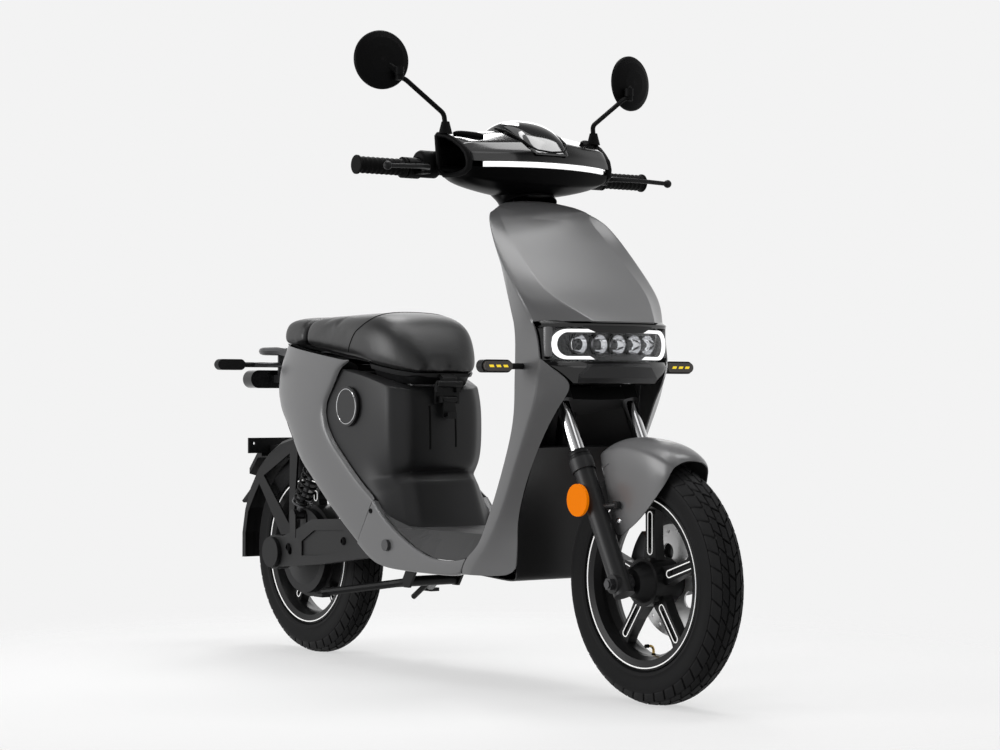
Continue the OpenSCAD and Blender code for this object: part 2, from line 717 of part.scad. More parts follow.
module steering_stem() {
  color(dark)
    difference() {
      union() {
        steer_frame() {
          translate([0, 0, 388])
            cylinder(h = 530, r = stem_r, $fn = 56);
          translate([0, 0, 384])
            linear_extrude(28) {
              circle(r = 24, $fn = 48);
              for (y = [-leg_y, leg_y])
                translate([fork_offset, y])
                  circle(r = 22, $fn = 48);
              polygon([[-14, -20], [fork_offset - 17, -leg_y], [fork_offset + 15, -leg_y], [38, 0],
                [fork_offset + 15, leg_y], [fork_offset - 17, leg_y], [-14, 20]]);
            }
        }
        ybar(bar_x, -26, 26, bar_z, 20);
      }
      ybar(bar_x, -30, 30, bar_z, bar_r + fit);
      steer_frame()
        for (y = [-leg_y, leg_y])
          translate([fork_offset, y, 380])
            cylinder(h = 40, r = stanchion_r + fit, $fn = 56);
    }
}

module stanchions() {
  color(steel)
    steer_frame()
      for (y = [-leg_y, leg_y])
        translate([fork_offset, y, 100])
          cylinder(h = 318, r = stanchion_r, $fn = 56);
}

module handlebar() {
  color(dark) {
    ybar(bar_x, -72, 72, bar_z, bar_r);
    both() {
      ybar(grip_x, 166, bar_w / 2 - 4, grip_z, bar_r);
      rod([bar_x, 66, bar_z], [grip_x, 172, grip_z], bar_r - 0.3);
    }
  }
}

// Cross sections of the handlebar covers at half widths 0 to 212: forward and up from the bar centre
cover_y = [212, 190, 150, 100, 50, 0];
cover_up = [
  [[49, 8], [45, 31], [35, 54], [17, 69], [-11, 70], [-61, 52]],
  [[71, 12], [65, 34], [51, 56], [23, 74], [-15, 74], [-65, 54]],
  [[99, 16], [91, 36], [71, 56], [28, 73], [-19, 72], [-69, 54]],
  [[116, 18], [108, 37], [85, 57], [35, 75], [-25, 73], [-72, 56]],
  [[126, 19], [118, 38], [95, 60], [38, 79], [-27, 76], [-75, 59]],
  [[129, 19], [121, 38], [98, 61], [38, 80], [-27, 78], [-75, 60]]];
cover_low = [
  [[47, -2], [41, -14], [28, -18], [8, -19], [-38, -14], [-64, 8], [-64.2, 51]],
  [[69, 1], [59, -16], [39, -22], [8, -23], [-42, -17], [-68, 8], [-68.2, 53]],
  [[97, 4], [81, -18], [53, -28], [8, -30], [-39, -16], [-71, 14], [-72.2, 53]],
  [[114, 6], [97, -22], [65, -36], [8, -40], [-47, -22], [-75, 13], [-75.2, 55]],
  [[124, 7], [106, -25], [73, -43], [12, -48], [-47, -32], [-77, 7], [-78.2, 58]],
  [[127, 7], [109, -26], [75, -45], [13, -50], [-47, -34], [-77, 6], [-78.2, 59]]];
function cover_grid(t) = [for (k = [0:len(t[0]) - 1])
  whole([for (i = [0:5]) [bar_x + t[i][k][0], -cover_y[i], bar_z + t[i][k][1]]])];

module bar_cover_upper() {
  color(black)
    sheet(cover_grid(cover_up), cover_t);
}

module bar_cover_lower() {
  color(black)
    difference() {
      union() {
        sheet(cover_grid(cover_low), -cover_t);
        // Collar over the top of the shield
        steer_frame()
          translate([0, 0, cap_s + 5])
            scale([0.56, 1, 1])
              cylinder(h = 44, r1 = 66, r2 = 72, $fn = 48);
        // Posts under the handlebar
        both()
          translate([bar_x - 5, 80, bar_z - 38])
            cylinder(h = 38 + 1 - bar_r - gap, r = 6, $fn = 28);
      }
      steer_frame()
        translate([0, 0, cap_s + 4])
          scale([0.54, 1, 1])
            cylinder(h = 56, r1 = 62, r2 = 68, $fn = 48);
    }
}

module bar_light() {
  ys = [149, 125, 100, 50, 0];
  xs = [[98, 1], [109, 1], [116, 0], [126, 0], [129, 0]];
  color([0.95, 0.97, 1])
    sheet([for (z = [-4, 0, 4]) whole([for (i = [0:4])
      [bar_x + xs[i][0] - abs(z) * 0.3, -ys[i], bar_z + 13 - 2 * pow(ys[i] / 150, 2) + z]])], 5);
}

module dash_display() {
  // Forward of the bar, half width, base and top above the bar
  rows = [[112, 36, 51, 56], [95, 46, 64, 78], [60, 56, 76, 96], [20, 62, 84, 106], [-20, 64, 83, 111],
    [-42, 62, 80, 109]];
  color(dark)
    loft([for (r = rows) half_ring(bar_x + r[0], [for (p = [[0, 0], [-0.7, 0], [-1, 0.05], [-0.96, 0.4],
      [-0.82, 0.74], [-0.5, 0.94], [0, 1]]) [p[0] * r[1], bar_z + mix(r[2], r[3], p[1])]])]);
}

// Pivot of the brake levers
lever = [grip_x + 40, 224];

module switch_pods() {
  color(black)
    both()
      difference() {
        union() {
          ybar(grip_x, 216, 246, grip_z, 21, 56);
          translate([grip_x - 24, 219, grip_z - 14])
            cube([22, 24, 28]);
          translate([grip_x + 2, 214, grip_z - 14])
            cube([lever[0] - grip_x - 1, 20, 23]);
          translate([lever[0], lever[1], grip_z - 14])
            cylinder(h = 23, r = 10, $fn = 36);
          translate([lever[0], lever[1], grip_z - 14])
            cylinder(h = 25, r = 4, $fn = 32);
        }
        ybar(grip_x, 200, 260, grip_z, bar_r + fit);
        difference() {
          translate([lever[0] - 14, lever[1] - 16, grip_z - 9 - gap])
            cube([40, 40, 12 + 2 * gap]);
          translate([lever[0], lever[1], grip_z - 20])
            cylinder(h = 30, r = 4, $fn = 32);
        }
        // Button hole
        translate([grip_x - 30, 231, grip_z])
          rotate([0, 90, 0])
            cylinder(h = 14, r = 6.5 + gap, $fn = 32);
      }
}

module button(y) {
  translate([grip_x - 29, y, grip_z])
    rotate([0, 90, 0])
      cylinder(h = 9, r = 6.5, $fn = 32);
}

module start_button() {
  color([0.5, 0.08, 0.06])
    button(-231);
}

module horn_button() {
  color([0.6, 0.5, 0.1])
    button(231);
}

module grip_shape(inner_gap) {
  l = bar_w / 2 - 250;
  n = 9;
  rotate([-90, 0, 0])
    difference() {
      rotate_extrude($fn = 64)
        polygon(concat([[0, 0], [grip_r + 4, 0], [grip_r + 4, 4]],
          [for (i = [0:n - 1], k = [0:1]) let (s = (l - 12) / n)
            [grip_r - 1.2 * k, 6 + i * s + 0.5 * s * k]],
          [[grip_r, l - 5], [grip_r + 2, l - 4], [grip_r + 2, l - 1], [grip_r, l], [0, l]]));
      translate([0, 0, -1])
        cylinder(h = l - 2.6, r = bar_r + inner_gap, $fn = 64);
    }
}

module left_grip() {
  color(black)
    translate([grip_x, 250, grip_z])
      grip_shape(fit);
}

module throttle_grip() {
  color(black)
    mirror([0, 1, 0])
      translate([grip_x, 250, grip_z])
        grip_shape(fit);
}

module brake_lever() {
  path = soft_path([[lever[0] - 2, -lever[1], grip_z - 3], [lever[0] + 26, -lever[1] - 8, grip_z - 3],
    [lever[0] + 48, -lever[1] - 46, grip_z - 5], [lever[0] + 58, -354, grip_z - 9]], 16);
  n = len(path) - 1;
  color(dark)
    difference() {
      union() {
        translate([lever[0], -lever[1], grip_z - 9])
          cylinder(h = 12, r = 9, $fn = 36);
        tube(path, [for (i = [0:n]) mix(5.9, 4.6, i / n)], 10);
        translate([lever[0] + 58, -352, grip_z - 9])
          sphere(r = 8.5, $fn = 28);
      }
      translate([lever[0], -lever[1], grip_z - 20])
        cylinder(h = 40, r = 4 + fit, $fn = 32);
    }
}

module brake_lever_right() {
  brake_lever();
}

module brake_lever_left() {
  mirror([0, 1, 0])
    brake_lever();
}

// Top of a mirror stem
m_pin = [bar_x + 10, mirror_gap / 2 - 25, mirror_z - 23];

module mirror_stems() {
  root = [bar_x + 20, 187, bar_z + 74 + gap];
  path = soft_path([root + [0, 0, 14], root + [-4, 1, 40], m_pin - [0, 12, 14], m_pin - [0, 0, 13]], 8);
  color(black)
    both() {
      translate(root)
        cylinder(h = 24, r1 = 14, r2 = 8, $fn = 36);
      tube(path, mirror_stem_r, 10, [1, 0, 0]);
      translate(m_pin - [0, 0, 18])
        cylinder(h = 9.6, r = 8, $fn = 32);
      translate(m_pin - [0, 0, 12])
        cylinder(h = 22, r = 4, $fn = 32);
    }
}

module mirror_head() {
  centre = [m_pin.x - 27, mirror_gap / 2, mirror_z];
  color(black)
    mirror([0, 1, 0])
      difference() {
        union() {
          translate(centre)
            rotate([0, 90, 10])
              rotate_extrude($fn = 72)
                polygon([[0, -5], [mirror_r - 3, -5], [mirror_r, -3], [mirror_r, 1], [mirror_r - 2, 4],
                  [mirror_r - 14, 9], [mirror_r - 32, 12], [0, 13]]);
          rod(centre + [8, -10, -10], m_pin + [-6, 0, 0], 7);
          translate(m_pin - [0, 0, 8])
            cylinder(h = 16, r = 9, $fn = 36);
        }
        translate(m_pin - [0, 0, 30])
          cylinder(h = 60, r = 4 + fit, $fn = 32);
      }
}

module mirror_head_right() {
  mirror_head();
}

module mirror_head_left() {
  mirror([0, 1, 0])
    mirror_head();
}

module fork_sliders() {
  color(black)
    difference() {
      union() {
        steer_frame()
          for (y = [-leg_y, leg_y])
            translate([fork_offset, y, 0]) {
              translate([0, 0, -24])
                cylinder(h = 280, r = slider_r, $fn = 56);
              translate([0, 0, 236])
                cylinder(h = 24, r = slider_r + 3.5, $fn = 56);
            }
        both() {
          ybar(fx, leg_y - slider_r + 0.5, leg_y + 21.5, az, 18, 40);
          // Fender boss and reflector arm
          rod([fx - 74, leg_y, az + 140], [fx - 30, leg_y - slider_r + 6, az + 146], 6);
          ybar(fx - 32, leg_y - slider_r - 1.2, leg_y - slider_r + 10, az + 146, 7, 28);
          ybar(fx - 86, leg_y + 4, leg_y + 27 - gap, az + 154, 5, 28);
        }
        // Caliper bracket on the left leg
        yplate(leg_y - slider_r + 1, leg_y - slider_r + 6)
          polygon([[fx - 10, az + 22], [fx - 36, az + 78], [fx - 104, az + 72], [fx - 112, az + 26]]);
      }
      steer_frame()
        for (y = [-leg_y, leg_y])
          translate([fork_offset, y, 34])
            cylinder(h = 240, r = stanchion_r + fit, $fn = 56);
      ybar(fx, -leg_y - 40, leg_y + 40, az, axle_r + fit);
    }
}

module front_fender() {
  // Crown x and height from the axle, then the lower edge of the skirt and its half width
  w = leg_y - slider_r - 2;
  rows = [[112, 232, 101, 205, w - 14], [104, 241, 92, 187, w - 8], [86, 251, 72, 164, w - 4],
    [56, 263, 48, 138, w - 1], [8, 272, 16, 112, w], [-40, 275, -15, 95, w], [-62, 271, -40, 84, w],
    [-76, 267, -53, 116, w], [-92, 261, -68, 165, w], [-106, 254, -82, 212, w - 1]];
  color(paint)
    sheet([for (r = rows) let (c = [r[0], r[1]], b = [r[2], r[3]], u = (b - c) / norm(b - c), h = norm(b - c),
      at = function (k, p) [fx + p[0], -r[4] * k, az + p[1]])
      whole([at(1, b), at(1, mix(b, c + u * min(36, 0.8 * h), 0.5)), at(0.99, c + u * min(36, 0.8 * h)),
        at(0.9, c + u * min(17, 0.5 * h)), at(0.66, c + u * min(6, 0.2 * h)), at(0.34, c + u * 1.2), at(0, c)])],
      panel_t - 0.5);
}

module front_axle() {
  color(steel) {
    ybar(fx, -leg_y - 34, leg_y + 34, az, axle_r);
    both()
      ybar(fx, leg_y + 22, leg_y + 31, az, 12, 6);
    ybar(fx, 53, leg_y - slider_r - gap, az, 12);
    ybar(fx, -(leg_y - slider_r - gap), -56.5, az, 12);
  }
}

module front_caliper() {
  color(dark)
    difference() {
      translate([fx, leg_y - slider_r + 0.6, az])
        rotate([90, 0, 0])
          rotate([0, 0, 134])
            rotate_extrude(angle = 40, $fn = 72)
              translate([76, 0])
                square([50, 22]);
      ybar(fx, 46.4, 53.2, az, disc_r + 4, 96);
    }
}

module fork_reflectors() {
  color([0.95, 0.45, 0.05])
    both()
      ybar(fx - 92, leg_y + 27, leg_y + 33, az + 154, 31, 56);
}

// Tyre section: reach and half width, hollow inside
module tyre(x) {
  r0 = 200;
  h = tyre_out - r0;
  w = tyre_w / 2;
  side = [for (a = [90:-15:30]) [r0 + h * cos(a), w * sin(a)]];
  crown = function (y) r0 + h * sqrt(1 - pow(y / w, 2));
  out = concat([[rim_r - 12.4, 29.4], [rim_r + 1, 29.4], [rim_r + 4, 36], [rim_r + 18, w - 2]], side,
    [[crown(16), 16], [crown(16) - 4, 15.5], [crown(12) - 4, 12], [crown(11.5), 11.5], [crown(5), 5]]);
  in = concat([for (a = [0:30:90]) [r0 + (h - 9) * cos(a), (w - 7) * sin(a)]],
    [[rim_r + 18, w - 10], [rim_r + 2, 22], [rim_r - 12.4, 20]]);
  color(black)
    difference() {
      translate([x, 0, az])
        rotate([90, 0, 0])
          rotate_extrude($fn = 96)
            polygon(concat(out, [for (i = [len(out) - 1:-1:0]) [out[i][0], -out[i][1]]],
              [for (i = [len(in) - 1:-1:0]) [in[i][0], -in[i][1]]], [for (i = [1:len(in) - 1]) in[i]]));
      translate([x - 120, -80, -20])
        cube([240, 160, 20]);
    }
}

// Rim barrel with a drop centre and two flanges
module rim_barrel() {
  b = rim_r - 13;
  half = [[rim_r, 33], [rim_r, 30], [b, 30], [b, 19], [b - 8, 12]];
  back = [[b - 15, 10], [b - 13, 17], [b - 6, 31], [rim_r - 4, 35]];
  rotate_extrude($fn = 96)
    polygon(concat(half, [for (i = [4:-1:0]) [half[i][0], -half[i][1]]],
      [for (i = [3:-1:0]) [back[i][0], -back[i][1]]], back));
}

// Spoke from the hub to the barrel with a long pocket in each face
module spoke(r1, w1) {
  r2 = rim_r - 25;
  module slot() {
    translate([mix(r1, r2, 0.28), -4.5])
      square([0.58 * (r2 - r1), 9]);
    translate([mix(r1, r2, 0.28), 0])
      circle(r = 4.5, $fn = 24);
    translate([mix(r1, r2, 0.86), 0])
      circle(r = 4.5, $fn = 24);
  }
  difference() {
    translate([0, 0, -spoke_t / 2])
      linear_extrude(spoke_t)
        polygon([[r1 - 4, -w1], [mix(r1, r2, 0.4), -13], [r2 - 16, -13], [r2 + 5, -18], [r2 + 5, 18],
          [r2 - 16, 13], [mix(r1, r2, 0.4), 13], [r1 - 4, w1]]);
    for (z = [-spoke_t / 2 - 1, spoke_t / 2 - 3])
      translate([0, 0, z])
        linear_extrude(4)
          slot();
  }
}

module front_rim() {
  color(black)
    translate([fx, 0, az])
      rotate([90, 0, 0])
        difference() {
          union() {
            rim_barrel();
            for (i = [0:spoke_n - 1])
              rotate([0, 0, 90 + 360 * i / spoke_n])
                spoke(40, 19);
            translate([0, 0, -30])
              cylinder(h = 60, r = 46, $fn = 64);
            translate([0, 0, 29])
              cylinder(h = 27, r1 = 40, r2 = 27, $fn = 64);
            translate([0, 0, -47.6])
              cylinder(h = 20, r = 34, $fn = 64);
          }
          translate([0, 0, -60])
            cylinder(h = 130, r = axle_r + fit, $fn = 48);
        }
}

module front_disc() {
  color(steel)
    translate([fx, 48, az])
      rotate([-90, 0, 0])
        difference() {
          cylinder(h = 4, r = disc_r, $fn = 96);
          translate([0, 0, -1])
            cylinder(h = 6, r = 20, $fn = 56);
          for (i = [0:4])
            rotate([0, 0, 36 + 72 * i]) {
              translate([57, 0, -1])
                cylinder(h = 6, r = 16, $fn = 32);
              for (a = [-24, -8, 8, 24])
                rotate([0, 0, a])
                  translate([disc_r - 13, 0, -1])
                    cylinder(h = 6, r = 3.5, $fn = 20);
            }
        }
}

module swingarm() {
  outline = [[rx - 20, az - 34], [rx + 43, az - 31], [rx + 192, az - 18], [rx + 331, az], [pivot[0], pivot[1] - 20],
    [pivot[0], pivot[1] + 20], [rx + 420, az + 66], [rx + 295, az + 86], [rx + 163, az + 80],
    [rx + 100, az + 56], [rx + 40, az + 38], [rx - 8, az + 38]];
  y1 = arm_y - 15;
  y2 = arm_y + 15;
  color(dark)
    difference() {
      union() {
        both() {
          yplate(y1, y2) {
            polygon(outline);
            translate([rx, az])
              circle(r = 39, $fn = 56);
            translate(pivot)
              circle(r = 20.5, $fn = 48);
          }
          // Lower shock lugs
          for (y = [shock_y - 16, shock_y + 12])
            yplate(y, y + 4) {
              translate(eye_low)
                circle(r = 11, $fn = 36);
              translate([eye_low[0] - 10, eye_low[1] - 52])
                square([24, 52]);
            }
          ybar(eye_low[0], shock_y - 16, shock_y + 16, eye_low[1], 5);
        }
        ybar(rx + 298, -y1 - 2, y1 + 2, az + 42, 19);
      }
      ybar(pivot[0], -hw, hw, pivot[1], 8 + fit);
      ybar(rx, -hw, hw, az, axle_r + fit);
      both() {
        // Pocket and bolt recesses in the outer face
        yplate(y2 - 4, y2 + 2)
          polygon([[rx + 120, az - 2], [rx + 196, az + 2], [rx + 300, az + 16], [rx + 296, az + 62],
            [rx + 172, az + 56], [rx + 120, az + 30]]);
        ybar(rx + 70, y2 - 8, y2 + 2, az + 6, 9, 32);
      }
    }
}

module rear_fender() {
  r = tyre_out + 30;
  w = 59;
  low = function (a) r - (a < 100 ? 24 : a < 150 ? 34 : 24);
  at = function (a, y, q) [rx + q * cos(a), -y, az + q * sin(a)];
  plate_x = rx - 186;
  tip = rx - rear_overhang;
  color(black) {
    sheet([for (a = [82:13:186]) whole([at(a, w, low(a)), at(a, w, r - 10), at(a, w - 10, r - 2), at(a, 26, r),
      at(a, 0, r)])], cover_t);
    both() {
      // Strut from the arm to the fender
      yplate(w - 2, w + 3)
        difference() {
          polygon([[rx - 20, az + 8], [rx - 52, az + 14], [rx - 178, az + 160], [rx - 160, az + 182],
            [rx - 30, az + 242], [rx + 6, az + 244]]);
          polygon([[rx - 34, az + 60], [rx - 148, az + 168], [rx - 30, az + 222]]);
        }
      ybar(rx - 24, w, arm_y - 15 - gap, az + 20, 8, 32);
    }
    // Number plate holder with a flap
    difference() {
      translate([plate_x - 4, -80, 451])
        cube([5, 160, 36]);
      both()
        translate([plate_x - 10, plate_bolts / 2, 474])
          rotate([0, 90, 0])
            cylinder(h = 20, r = bolt_hole_r, $fn = 32);
    }
    translate([plate_x - 2, -22, 440])
      cube([36, 44, 30]);
    difference() {
      yplate(-45, 45)
        polygon([[plate_x - 20, 452], [plate_x, 452], [plate_x, 444], [plate_x - 18, 440], [tip + 6, 330],
          [tip, 334]]);
      both()
        translate([tip - 20, 26, 300])
          rotate([0, 0, -14])
            cube([90, 60, 160]);
    }
  }
}

module rear_axle() {
  color(dark) {
    ybar(rx, -arm_y - 17, arm_y + 17, az, axle_r);
    both() {
      ybar(rx, arm_y + 15 + gap, arm_y + 26, az, 34);
      ybar(rx, 53, arm_y - 15.5, az, 14);
    }
  }
}

module front_tyre() {
  tyre(fx);
}

module rear_tyre() {
  tyre(rx);
}

module rear_rim() {
  color(black)
    translate([rx, 0, az])
      rotate([90, 0, 0])
        difference() {
          union() {
            rim_barrel();
            for (i = [0:spoke_n - 1])
              rotate([0, 0, 90 + 360 * i / spoke_n])
                spoke(motor_r + 6, 17);
            translate([0, 0, -26])
              cylinder(h = 52, r = motor_r + 9, $fn = 80);
          }
          translate([0, 0, -60])
            cylinder(h = 120, r = motor_r + fit, $fn = 80);
        }
}

module hub_motor() {
  color(dark)
    translate([rx, 0, az])
      rotate([90, 0, 0])
        difference() {
          union() {
            translate([0, 0, -44])
              cylinder(h = 88, r = motor_r, $fn = 80);
            for (s = [-1, 1])
              scale([1, 1, s])
                translate([0, 0, 43])
                  cylinder(h = 9, r1 = motor_r - 14, r2 = 40, $fn = 64);
          }
          translate([0, 0, -60])
            cylinder(h = 120, r = axle_r + fit, $fn = 48);
        }
}

module shock_frame() {
  both()
    translate([eye_low[0], shock_y, eye_low[1]])
      rotate([0, shock_a, 0])
        children();
}

module eye(z, bore) {
  difference() {
    translate([0, -11.4, z])
      rotate([-90, 0, 0])
        cylinder(h = 22.8, r = 11, $fn = 40);
    translate([0, -12, z])
      rotate([-90, 0, 0])
        cylinder(h = 24, r = bore, $fn = 40);
  }
}

module shock_bodies() {
  color(dark)
    shock_frame() {
      difference() {
        union() {
          translate([0, 0, shock_l - 165])
            cylinder(h = 157, r = 12.5, $fn = 48);
          translate([0, 0, shock_l - 62])
            cylinder(h = 4, r = spring_r + 4, $fn = 48);
        }
        translate([0, 0, shock_l - 170])
          cylinder(h = 105, r = 6 + fit, $fn = 40);
        translate([0, -14, shock_l])
          rotate([-90, 0, 0])
            cylinder(h = 28, r = 10, $fn = 40);
      }
      eye(shock_l, 5 + fit);
    }
}

module shock_rods() {
  color(steel)
    shock_frame() {
      translate([0, 0, 9])
        cylinder(h = 141, r = 6, $fn = 40);
      translate([0, 0, 30])
        cylinder(h = 4, r = spring_r + 4, $fn = 48);
      eye(0, 5.9);
    }
}

// Coil springs between the two perches
spring_low = 34 + gap + wire_r;
spring_top = shock_l - 62 - gap - wire_r;
coil_pitch = (spring_top - spring_low) / coil_n;
echo(least_spring_gap = coil_pitch - 2 * wire_r);

module shock_springs() {
  path = [for (i = [0:8 * coil_n]) [spring_r * cos(45 * i), spring_r * sin(45 * i),
    spring_low + coil_pitch * i / 8]];
  color(black)
    shock_frame()
      tube(path, wire_r, 6);
}

main_frame();
head_bearings();
front_shield();
wheel_well_panel();
inner_leg_panel();
floor_rails();
footboard();
side_cover_right();
side_cover_left();
seat_box();
side_caps();
battery();
seat_hinge_bracket();
headlight_housing();
headlight_lens();
headlight_ring();
indicator_bodies();
indicator_lenses();
rear_rack();
tail_light();
tail_lens();
swingarm_bolt();
centre_stand();
seat_base();
seat_cushion();
bag_hook();
steering_stem();
stanchions();
handlebar();
bar_cover_upper();
bar_cover_lower();
dash_display();
bar_light();
switch_pods();
left_grip();
mirror_stems();
mirror_head_right();
mirror_head_left();
throttle_grip();
brake_lever_right();
brake_lever_left();
start_button();
horn_button();
fork_sliders();
front_fender();
front_axle();
front_caliper();
fork_reflectors();
front_tyre();
front_rim();
front_disc();
swingarm();
rear_fender();
rear_axle();
rear_tyre();
rear_rim();
hub_motor();
shock_bodies();
shock_springs();
shock_rods();
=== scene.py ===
"""Looks of a step-through electric scooter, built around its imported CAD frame."""

import logging
import math
from contextlib import contextmanager
from dataclasses import dataclass, field
from enum import Enum
from typing import Any, Callable, Iterator, Sequence

import bmesh
import bpy
from mathutils import Matrix, Vector


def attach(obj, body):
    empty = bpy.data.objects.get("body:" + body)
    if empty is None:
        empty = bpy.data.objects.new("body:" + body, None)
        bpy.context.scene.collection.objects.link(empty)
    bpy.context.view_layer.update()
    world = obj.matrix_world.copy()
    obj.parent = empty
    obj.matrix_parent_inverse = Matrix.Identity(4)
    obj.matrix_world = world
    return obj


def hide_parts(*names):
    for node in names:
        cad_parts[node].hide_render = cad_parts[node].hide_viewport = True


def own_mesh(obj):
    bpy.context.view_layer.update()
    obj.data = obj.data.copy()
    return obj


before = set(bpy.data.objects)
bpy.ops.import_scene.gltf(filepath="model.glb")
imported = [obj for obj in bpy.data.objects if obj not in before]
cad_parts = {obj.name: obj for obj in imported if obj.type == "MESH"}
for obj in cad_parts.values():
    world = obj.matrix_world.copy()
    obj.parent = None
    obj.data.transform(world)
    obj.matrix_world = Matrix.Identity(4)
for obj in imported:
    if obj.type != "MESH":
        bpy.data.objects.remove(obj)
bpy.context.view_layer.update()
LOG = logging.getLogger("scooter")

Point = tuple[float, float, float]
Pair = tuple[float, float]
Rows = list[list[Point]]
Table = tuple[tuple[float, ...], ...]
Piece = bpy.types.Object
Tree = bpy.types.NodeTree

# Scale from the millimetres of the tables to Blender's metres
MM = 0.001
# Axles, bar and steering axis of the CAD frame, in millimetres
FRONT_X, REAR_X, AXLE_Z = 644.75, -558.25, 232.0
BAR_X, BAR_Z = 199.0, 1031.64
STEER_X, STEER_Z, RAKE = 620.91, 219.32, math.radians(28)
BODY_HALF, LEG_Y, CAP_S = 150.0, 82.0, 837.0


def mix(a: float, b: float, t: float) -> float:
    """Value between a and b at share t."""
    return a + (b - a) * t


def between(a: Sequence[float], b: Sequence[float], t: float) -> Point:
    """Point between a and b at share t."""
    return tuple(mix(p, q, t) for p, q in zip(a, b))


def along(line: Sequence[Sequence[float]], t: float) -> Point:
    """Point of a polyline at share t of its knots."""
    u = min(max(t, 0.0), 0.99999) * (len(line) - 1)
    i = int(u)
    return between(line[i], line[i + 1], u - i)


def steer_point(n: float, y: float, s: float) -> Point:
    """Point at n ahead of the steering axis and s along it."""
    cos, sin = math.cos(RAKE), math.sin(RAKE)
    return (STEER_X + n * cos - s * sin, y, STEER_Z + n * sin + s * cos)


def flipped(p: Point) -> Point:
    """The point on the other side of the middle plane."""
    return (p[0], -p[1], p[2])


def whole(half: Sequence[Point]) -> list[Point]:
    """A row across the machine from its right half, whose last point is in the middle."""
    return list(half) + [flipped(p) for p in reversed(half[:-1])]


def ringed(half: Sequence[Point]) -> list[Point]:
    """A closed ring from its right half, whose first and last points are in the middle."""
    return list(half) + [flipped(p) for p in reversed(half[1:-1])]


def link(name: str, data: bpy.types.ID) -> Piece:
    """Put a mesh, a lamp or a camera in the scene as a new object."""
    piece = bpy.data.objects.new(name, data)
    bpy.context.scene.collection.objects.link(piece)
    return piece


def make(name: str, verts: Sequence[Sequence[float]], faces: Sequence[Sequence[int]]) -> Piece:
    """Link a new mesh object.

    Args:
        name: Name of the piece.
        verts: Points in millimetres.
        faces: Corner numbers of each face.

    Returns:
        The object, in metres.
    """
    mesh = bpy.data.meshes.new(name)
    mesh.from_pydata([Vector(v) * MM for v in verts], [], faces)
    return link(name, mesh)


def quads(count: int, n: int, ring: bool, closed: bool) -> list[Sequence[int]]:
    """Faces between rows of points.

    Args:
        count: Number of rows.
        n: Points in a row.
        ring: Whether the last row meets the first.
        closed: Whether the last point of a row meets its first.

    Returns:
        Corner numbers of each face.
    """
    return [
        (i * n + j, i * n + (j + 1) % n, (i + 1) % count * n + (j + 1) % n, (i + 1) % count * n + j)
        for i in range(count if ring else count - 1)
        for j in range(n if closed else n - 1)
    ]


@contextmanager
def edited(piece: Piece) -> Iterator[bmesh.types.BMesh]:
    """Open a piece's mesh for editing and write it back."""
    work = bmesh.new()
    work.from_mesh(piece.data)
    yield work
    work.to_mesh(piece.data)
    work.free()


def soften(piece: Piece, levels: int) -> None:
    """Round a piece by subdivision."""
    soft = piece.modifiers.new("soft", "SUBSURF")
    soft.levels = soft.render_levels = levels


def freeze(piece: Piece, angle: float = 35.0) -> Piece:
    """Apply a piece's modifiers and shade it smooth up to an edge angle.

    Args:
        piece: Object with modifiers.
        angle: Edges that turn by more degrees stay sharp.

    Returns:
        The same object.
    """
    bpy.context.view_layer.update()
    graph = bpy.context.evaluated_depsgraph_get()
    mesh = bpy.data.meshes.new_from_object(piece.evaluated_get(graph))
    old = piece.data
    piece.modifiers.clear()
    piece.data = mesh
    bpy.data.meshes.remove(old)
    crisp = [edge.index for edge in mesh.edges if edge.use_edge_sharp]
    mesh.shade_smooth()
    mesh.set_sharp_from_angle(angle=math.radians(angle))
    for i in crisp:
        mesh.edges[i].use_edge_sharp = True
    return piece


def face_out(piece: Piece, inside: Point | None = None) -> None:
    """Turn the faces of a mesh outward.

    Args:
        piece: Closed mesh, or an open panel.
        inside: Point behind the panel in millimetres, or none for a closed mesh.
    """
    with edited(piece) as work:
        bmesh.ops.recalc_face_normals(work, faces=work.faces)
        if inside:
            behind = Vector(inside) * MM
            lean = sum((f.calc_center_median() - behind).dot(f.normal) * f.calc_area() for f in work.faces)
            if lean < 0:
                bmesh.ops.reverse_faces(work, faces=work.faces)


def write_creases(
    work: bmesh.types.BMesh, n: int, rows: dict[int, float], cols: dict[int, float]
) -> bmesh.types.BMLayerItem:
    """Write creases on the edges of a grid.

    Args:
        work: Mesh whose points come row by row.
        n: Points in a row.
        rows: Crease along each row that keeps an edge.
        cols: Crease along each column that keeps an edge.

    Returns:
        The layer with the creases.
    """
    layer = work.edges.layers.float.new("crease_edge")
    for edge in work.edges:
        a, b = sorted(v.index for v in edge.verts)
        if a // n == b // n:
            edge[layer] = rows.get(a // n, 0.0)
        elif a % n == b % n:
            edge[layer] = cols.get(a % n, 0.0)
    return layer


